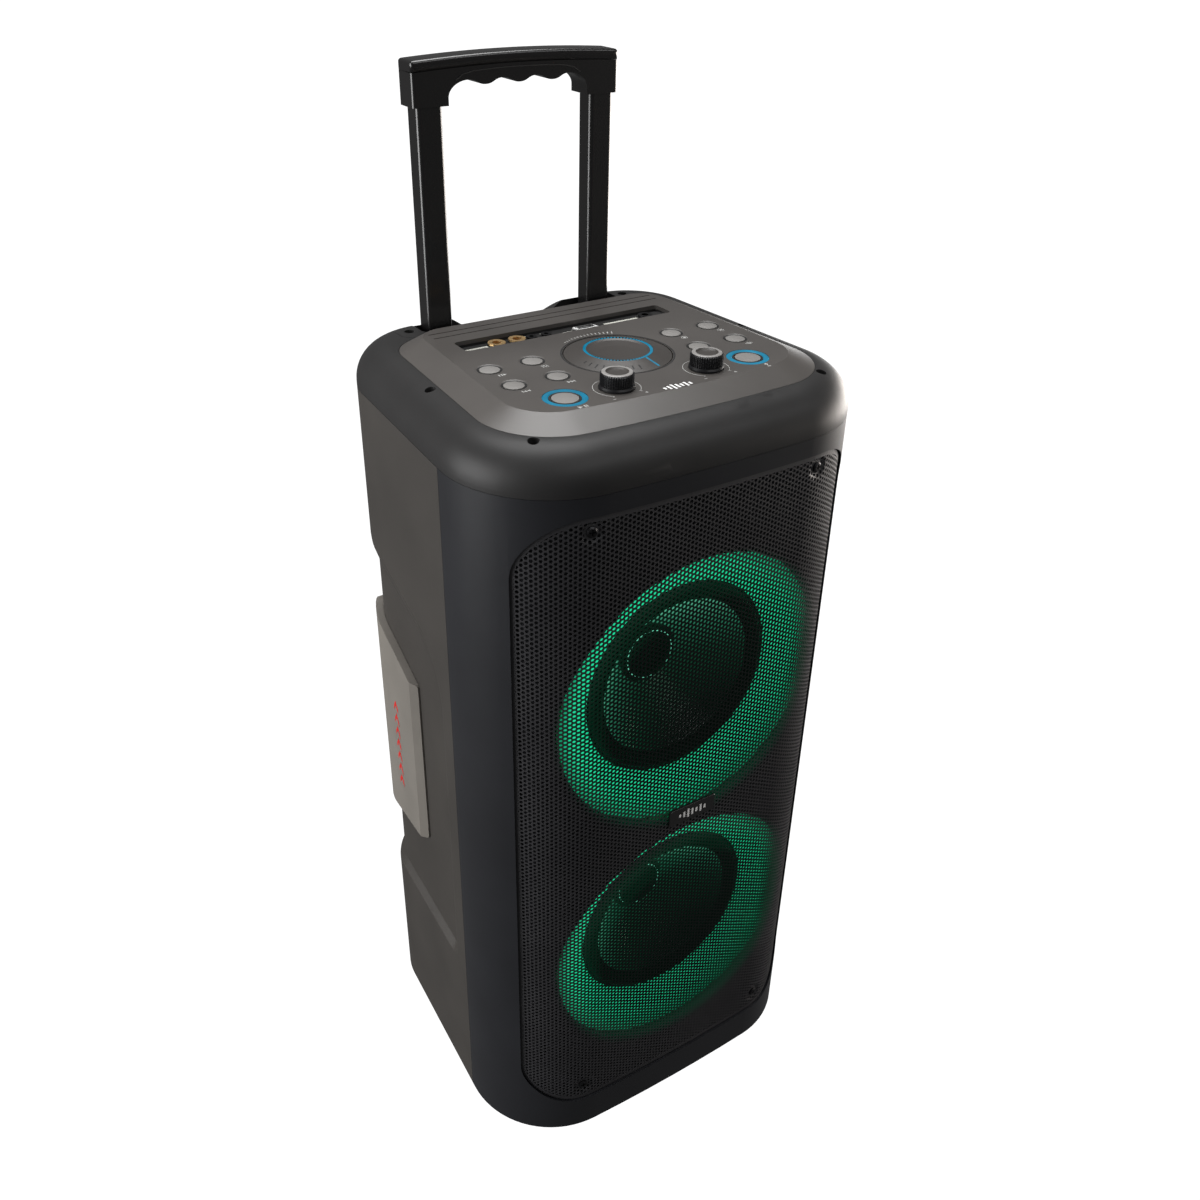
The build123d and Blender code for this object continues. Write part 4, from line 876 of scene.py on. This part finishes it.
# ================================================================ sockets
# three label bands, then a short line over and under each kind of socket
labels = [bar(-76.0, 34.0, 18.0, 7.0), bar(47.0, 34.0, 30.0, 7.0), bar(-1.0, 33.0, 9.0, 3.0)]
labels += [bar(x, 44.2, 5.0, 0.7) for x in (-59.7, -43.0)]
labels += [bar(x, 28.6, 3.4, 1.2) for x in (-31.0, -18.5)]
labels += [bar(x, 43.0, 3.0, 0.7) for x in (-31.0, -18.5, 15.4, 69.5)]
printed("socket_labels", "label", "cabinet", "port_panel", PLAN, labels)

# painted highlight: white bars round the USB socket stand in for the bright shine of its metal shell
usb_shine_bars = [bar(15.4, 31.9, 17.0, 1.1), bar(15.4, 40.1, 17.0, 1.1)]
usb_shine_bars += [bar(7.4, 36.0, 1.1, 8.4), bar(23.4, 36.0, 1.1, 8.4)]
printed("usb_painted_shine", "bright", "cabinet", "port_panel", PLAN, usb_shine_bars, 0.9)

# only the shell of the USB socket is bright
USB_SPAN = (7.0, 24.0)
sockets = nodes["small_sockets"].data
sockets.materials.append(looks["black_steel"])
for face in sockets.polygons:
    if not USB_SPAN[0] < face.center.x / MM < USB_SPAN[1]:
        face.material_index = 1

# ================================================================ knobs
KNURLS = 44
KNURL_ROWS = 7
KNURL_DEPTH = 0.75
STEM_RADIUS = 2.9
SLEEVE_HEIGHT = 11.0


def tone_knob(name):
    """A knurled sleeve and a dished metal ring in place of a plain turned knob."""
    low, high = (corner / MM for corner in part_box(f"{name}_knob"))
    x, y = (low.x + high.x) / 2, (low.y + high.y) / 2
    radius, top, base = (high.x - low.x) / 2, high.z, high.z - SLEEVE_HEIGHT
    waist = radius - 0.7
    # (radius, height) up the outside: stem, foot flange, knurled waist, rounded top edge
    profile = [(STEM_RADIUS, low.z), (STEM_RADIUS, base)]
    profile += [(radius, base), (radius, base + 1.0), (waist, base + 2.2)]
    knurled = range(len(profile), len(profile) + 2 * KNURL_ROWS + 1)
    rise = (top - 1.3 - base - 2.4) / (2 * KNURL_ROWS)
    profile += [(waist, base + 2.4 + rise * k) for k in range(2 * KNURL_ROWS + 1)]
    profile += [(radius - 2.4, top - 0.25), (radius - 6.0, top - 1.4)]

    def knurl(row, k, r):
        """Cuts grooves round and up the waist, which leaves rows of small pads."""
        on_pad = row % 2 and k % 4 in (0, 1)
        return r - KNURL_DEPTH if row in knurled and not on_pad else r

    mesh = bmesh.new()
    lathe(mesh, profile, x, y, 4 * KNURLS, knurl)
    sleeve = new_piece(f"{name}_knob_sleeve", "knob", name, mesh)
    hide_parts(f"{name}_knob")
    mesh = bmesh.new()
    rim = [(radius - 1.9, top - 1.0), (radius - 1.9, top - 0.3), (radius - 2.4, top), (radius - 4.4, top)]
    dish = [(radius - 5.8, top - 1.1), (radius - 8.5, top - 1.35)]
    lathe(mesh, rim + dish, x, y, 64)
    ring = new_piece(f"{name}_knob_ring", "ring_steel", name, mesh)
    # the floor of the dish has the dial's finish
    ring.data.materials.append(looks["dial"])
    for face in ring.data.polygons:
        reach = math.hypot(face.center.x / MM - x, face.center.y / MM - y)
        face.material_index = 1 if reach < radius - 5.0 else 0
    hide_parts(f"{name}_knob")


for name in TONE_KNOBS:
    tone_knob(name)

# the lit ring of the volume knob is a row of dashes that runs together on its right
DASHES = 64
FULL_AT, FADE = 320.0, 60
mesh = bmesh.new()
ring_low, ring_high = (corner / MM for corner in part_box("volume_light_ring"))
ring_radius = (ring_high.x - ring_low.x) / 2
inner, outer = ring_radius - 1.9, ring_radius - 0.1
for k in range(DASHES):
    turn = 360.0 * k / DASHES
    off = abs((turn - FULL_AT + 180.0) % 360.0 - 180.0)
    filled = 0.5 if off > FADE else 1.0 - 0.5 * off / FADE
    half = 180.0 / DASHES * filled
    outline = []
    for r, t in ((inner, -half), (outer, -half), (outer, half), (inner, half)):
        angle = math.radians(turn + t)
        outline.append((volume_spot[0] + r * math.cos(angle), volume_spot[1] + r * math.sin(angle)))
    tops = [(u * MM, v * MM, ring_high.z * MM) for u, v in outline]
    feet = [(u * MM, v * MM, ring_low.z * MM) for u, v in outline]
    prism(mesh, tops, feet)
dashes = new_piece("volume_dashes", "blue", "volume", mesh)
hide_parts("volume_light_ring")
pointer = [ray(*volume_spot, near, near + 2.3, -73, 1.5) for near in (25.0, 27.3, 29.6, 31.9, 34.2)]
printed("volume_pointer", "blue", "volume", "volume_knob", PLAN, pointer, 0.15)
ticks = [ray(*volume_spot, 30.5, 30.5 + 0.9 * (k % 3) + 2.6, -168 + 9.0 * k, 1.0) for k in range(9)]
printed("volume_ticks", "dark", "volume", "volume_knob", PLAN, ticks, 0.1)

# ================================================================ dust caps
# painted highlight: a thin glowing band round each cap, on its domed face, in place of the highlight on
# the cap's rim
DUST_HIGHLIGHT_RADII = (20.1, 20.8)
DUST_STEPS = 72
DUST_STEP = 360.0 / DUST_STEPS
DUST_DOME, DUST_RADIUS = 8.0, 25.0
BOX_FACES = ((0, 2, 6, 4), (1, 5, 7, 3), (0, 4, 5, 1), (2, 3, 7, 6), (0, 1, 3, 2), (4, 6, 7, 5))
for which, centre in zip(("upper", "lower"), woofer_centres):
    mesh = bmesh.new()
    cap_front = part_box(f"dust_cap_{which}")[0].y / MM
    for k in range(DUST_STEPS):
        corners = []
        for degrees in (DUST_STEP * k, DUST_STEP * k + DUST_STEP):
            t = math.radians(degrees)
            for r in DUST_HIGHLIGHT_RADII:
                back = DUST_DOME * (r / DUST_RADIUS) ** 2
                for sink in (0.35, -0.3):
                    y = (cap_front + back - sink) * MM
                    place = (r * math.cos(t) * MM, y, centre[2] + r * math.sin(t) * MM)
                    corners.append(mesh.verts.new(place))
        for quad in BOX_FACES:
            mesh.faces.new([corners[i] for i in quad])
    bmesh.ops.remove_doubles(mesh, verts=mesh.verts, dist=1e-6)
    new_piece(f"dust_cap_highlight_{which}", "painted_rim_highlight", f"{which}_cone", mesh)

# ================================================================ grip
grip_low, grip_high = (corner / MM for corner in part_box("grip_upper"))
LID_DEPTH = 7.0
END_LENGTH, END_FALL = 2.5, 1.6
END_STEPS = (0.0, 0.2, 0.7, 1.5, 2.5)
LONG_EDGE = 2.2
SPAN_STEPS = 60


def grip_lid():
    """The grip's top half, with its long edges rounded and its ends closed."""
    half, deep = grip_high.x, (grip_high.y - grip_low.y) / 2
    centre_y = (grip_high.y + grip_low.y) / 2
    end_top, rise = grip_low.z + LID_DEPTH, grip_high.z - grip_low.z - LID_DEPTH
    curve = (half**2 + rise**2) / (2 * rise)
    span = 2 * half - 2 * END_LENGTH
    stations = [-half + d for d in END_STEPS]
    stations += [-half + END_LENGTH + span * k / SPAN_STEPS for k in range(1, SPAN_STEPS)]
    stations += [half - d for d in END_STEPS[::-1]]
    mesh = bmesh.new()
    rings = []
    for x in stations:
        top = end_top + rise - curve + math.sqrt(curve**2 - x**2)
        inside = min(END_LENGTH, half - abs(x))
        tuck = END_LENGTH - math.sqrt(END_LENGTH**2 - (END_LENGTH - inside) ** 2)
        reach = deep - tuck
        section = [(-reach, top - LID_DEPTH), (-reach, top - LONG_EDGE)]
        for k in range(1, 7):
            t = math.radians(15 * k)
            across = -reach + LONG_EDGE - LONG_EDGE * math.cos(t)
            section.append((across, top - LONG_EDGE + LONG_EDGE * math.sin(t)))
        section += [(-u, v) for u, v in section[::-1]]
        highest = top - END_FALL * (1 - inside / END_LENGTH) ** 2
        ring = [(x * MM, (centre_y + u) * MM, min(v, highest) * MM) for u, v in section]
        rings.append([mesh.verts.new(place) for place in ring])
    loft(mesh, rings)
    lid = new_piece("grip_lid", "gloss", "handle", mesh)
    for face in lid.data.polygons:
        face.use_smooth = len(face.vertices) == 4
    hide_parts("grip_upper")


grip_lid()

# a thin raised line that follows the front of the grip, as (x, z) points from one end to the other
RIB_HALF = 0.35
rib = [(-53.5, 803.0), (-53.2, 811.0), (-50.5, 817.0), (-45.0, 820.6), (-36.0, 822.4)]
rib += [(12.0 * k, 822.4 + 1.1 * (1 - (k / 3) ** 2)) for k in range(-2, 3)]
rib += [(-x, z) for x, z in rib[4::-1]]
strips = []
for (x0, z0), (x1, z1) in zip(rib, rib[1:]):
    length = math.hypot(x1 - x0, z1 - z0)
    u, v = -(z1 - z0) / length * RIB_HALF, (x1 - x0) / length * RIB_HALF
    strips.append([(x0 - u, z0 - v), (x1 - u, z1 - v), (x1 + u, z1 + v), (x0 + u, z0 + v)])
# painted highlight: the raised rib is printed in the lighter cap plastic, so that it shows as the faint
# light line along the grip
printed("grip_rib", "cap", "handle", "grip_lower", FRONT, strips, 0.3)

# ================================================================ axle caps
AXLE_CAP_RADIUS = 5.4
AXLE_CAP_STEPS = 32
# (share of the radius, height over the shell) from the foot of the cap to its middle
AXLE_CAP_SECTION = ((0.96, -0.6), (1.0, 0.0), (1.0, 0.5), (0.93, 0.85), (0.6, 1.1))


def axle_cap(name, side):
    """A low domed cap over the axle's bore, lying on the shell's round corner."""
    wheel_low, wheel_high = (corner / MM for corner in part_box("tyre_left"))
    axle_y, axle_z = (wheel_low.y + wheel_high.y) / 2, (wheel_low.z + wheel_high.z) / 2
    outward = Vector((side, 0, 0))
    circle = disc(axle_y, axle_z, AXLE_CAP_RADIUS, AXLE_CAP_STEPS)
    rim = [drop("rear_shell", (BEYOND * side, u, v), -outward, 0.1) for u, v in circle]
    centre = sum(rim, Vector()) / len(rim)
    quarter, opposite = rim[AXLE_CAP_STEPS // 4], rim[AXLE_CAP_STEPS // 2]
    tilt = (quarter - rim[0]).cross(opposite - rim[0]).normalized()
    tilt = tilt if tilt.x * side > 0 else -tilt
    mesh = bmesh.new()
    rings = []
    for share, height in AXLE_CAP_SECTION:
        places = [centre + (p - centre) * share + tilt * height * MM for p in rim]
        rings.append([mesh.verts.new(place) for place in places])
    loft(mesh, rings)
    new_piece(name, "dark", "cabinet", mesh)


axle_cap("axle_cap_left", -1)
axle_cap("axle_cap_right", 1)

# ================================================================ stage
FLOOR_HALF = 60
floor_mesh = bmesh.new()
bmesh.ops.create_grid(floor_mesh, x_segments=1, y_segments=1, size=FLOOR_HALF)
floor_data = bpy.data.meshes.new("floor")
floor_mesh.to_mesh(floor_data)
floor_mesh.free()
floor = bpy.data.objects.new("floor", floor_data)
bpy.context.scene.collection.objects.link(floor)
# the paper looks white to the camera and casts only a little light
floor_look = Shader("floor_paper")
paper = floor_look.ramp(floor_look.noise(3.0), ((0.0, (0.97, 0.97, 0.97)), (1.0, (1.0, 1.0, 1.0))))
floor_look.tree.nodes.remove(floor_look.bsdf)
floor_path = floor_look.node("ShaderNodeLightPath")
floor_share = floor_look.maths("MULTIPLY_ADD", floor_path.outputs["Is Camera Ray"], 1.0, 0.12)
floor_glow = floor_look.node("ShaderNodeEmission", Color=paper, Strength=floor_share)
floor_out = next(n for n in floor_look.tree.nodes if n.type == "OUTPUT_MATERIAL")
floor_look.tree.links.new(floor_glow.outputs[0], floor_out.inputs["Surface"])
floor_data.materials.append(floor_look.material)

add_camera()
add_world(1.05, 0.12)
add_area_light("key", (-2.0, 0.35, 0.75), (0, 0, 0.38), (1.5, 1.5), 58)
add_area_light("top", (0.1, 0.4, 2.3), (0, 0, 0.6), (1.5, 1.2), 46)
add_area_light("sweep", (1.6, 0.5, 0.04), (0.1, 0, 0.35), (1.6, 1.4), 16)
add_area_light("right", (2.1, -0.02, 0.3), (0, -0.1, 0.32), (2.0, 0.9), 62, (1.0, 0.92, 0.85))
add_area_light("front", (0.5, -1.5, 2.1), (0.05, -0.1, 0.6), (2.4, 0.5), 14)
bpy.context.scene.view_settings.view_transform = "Standard"
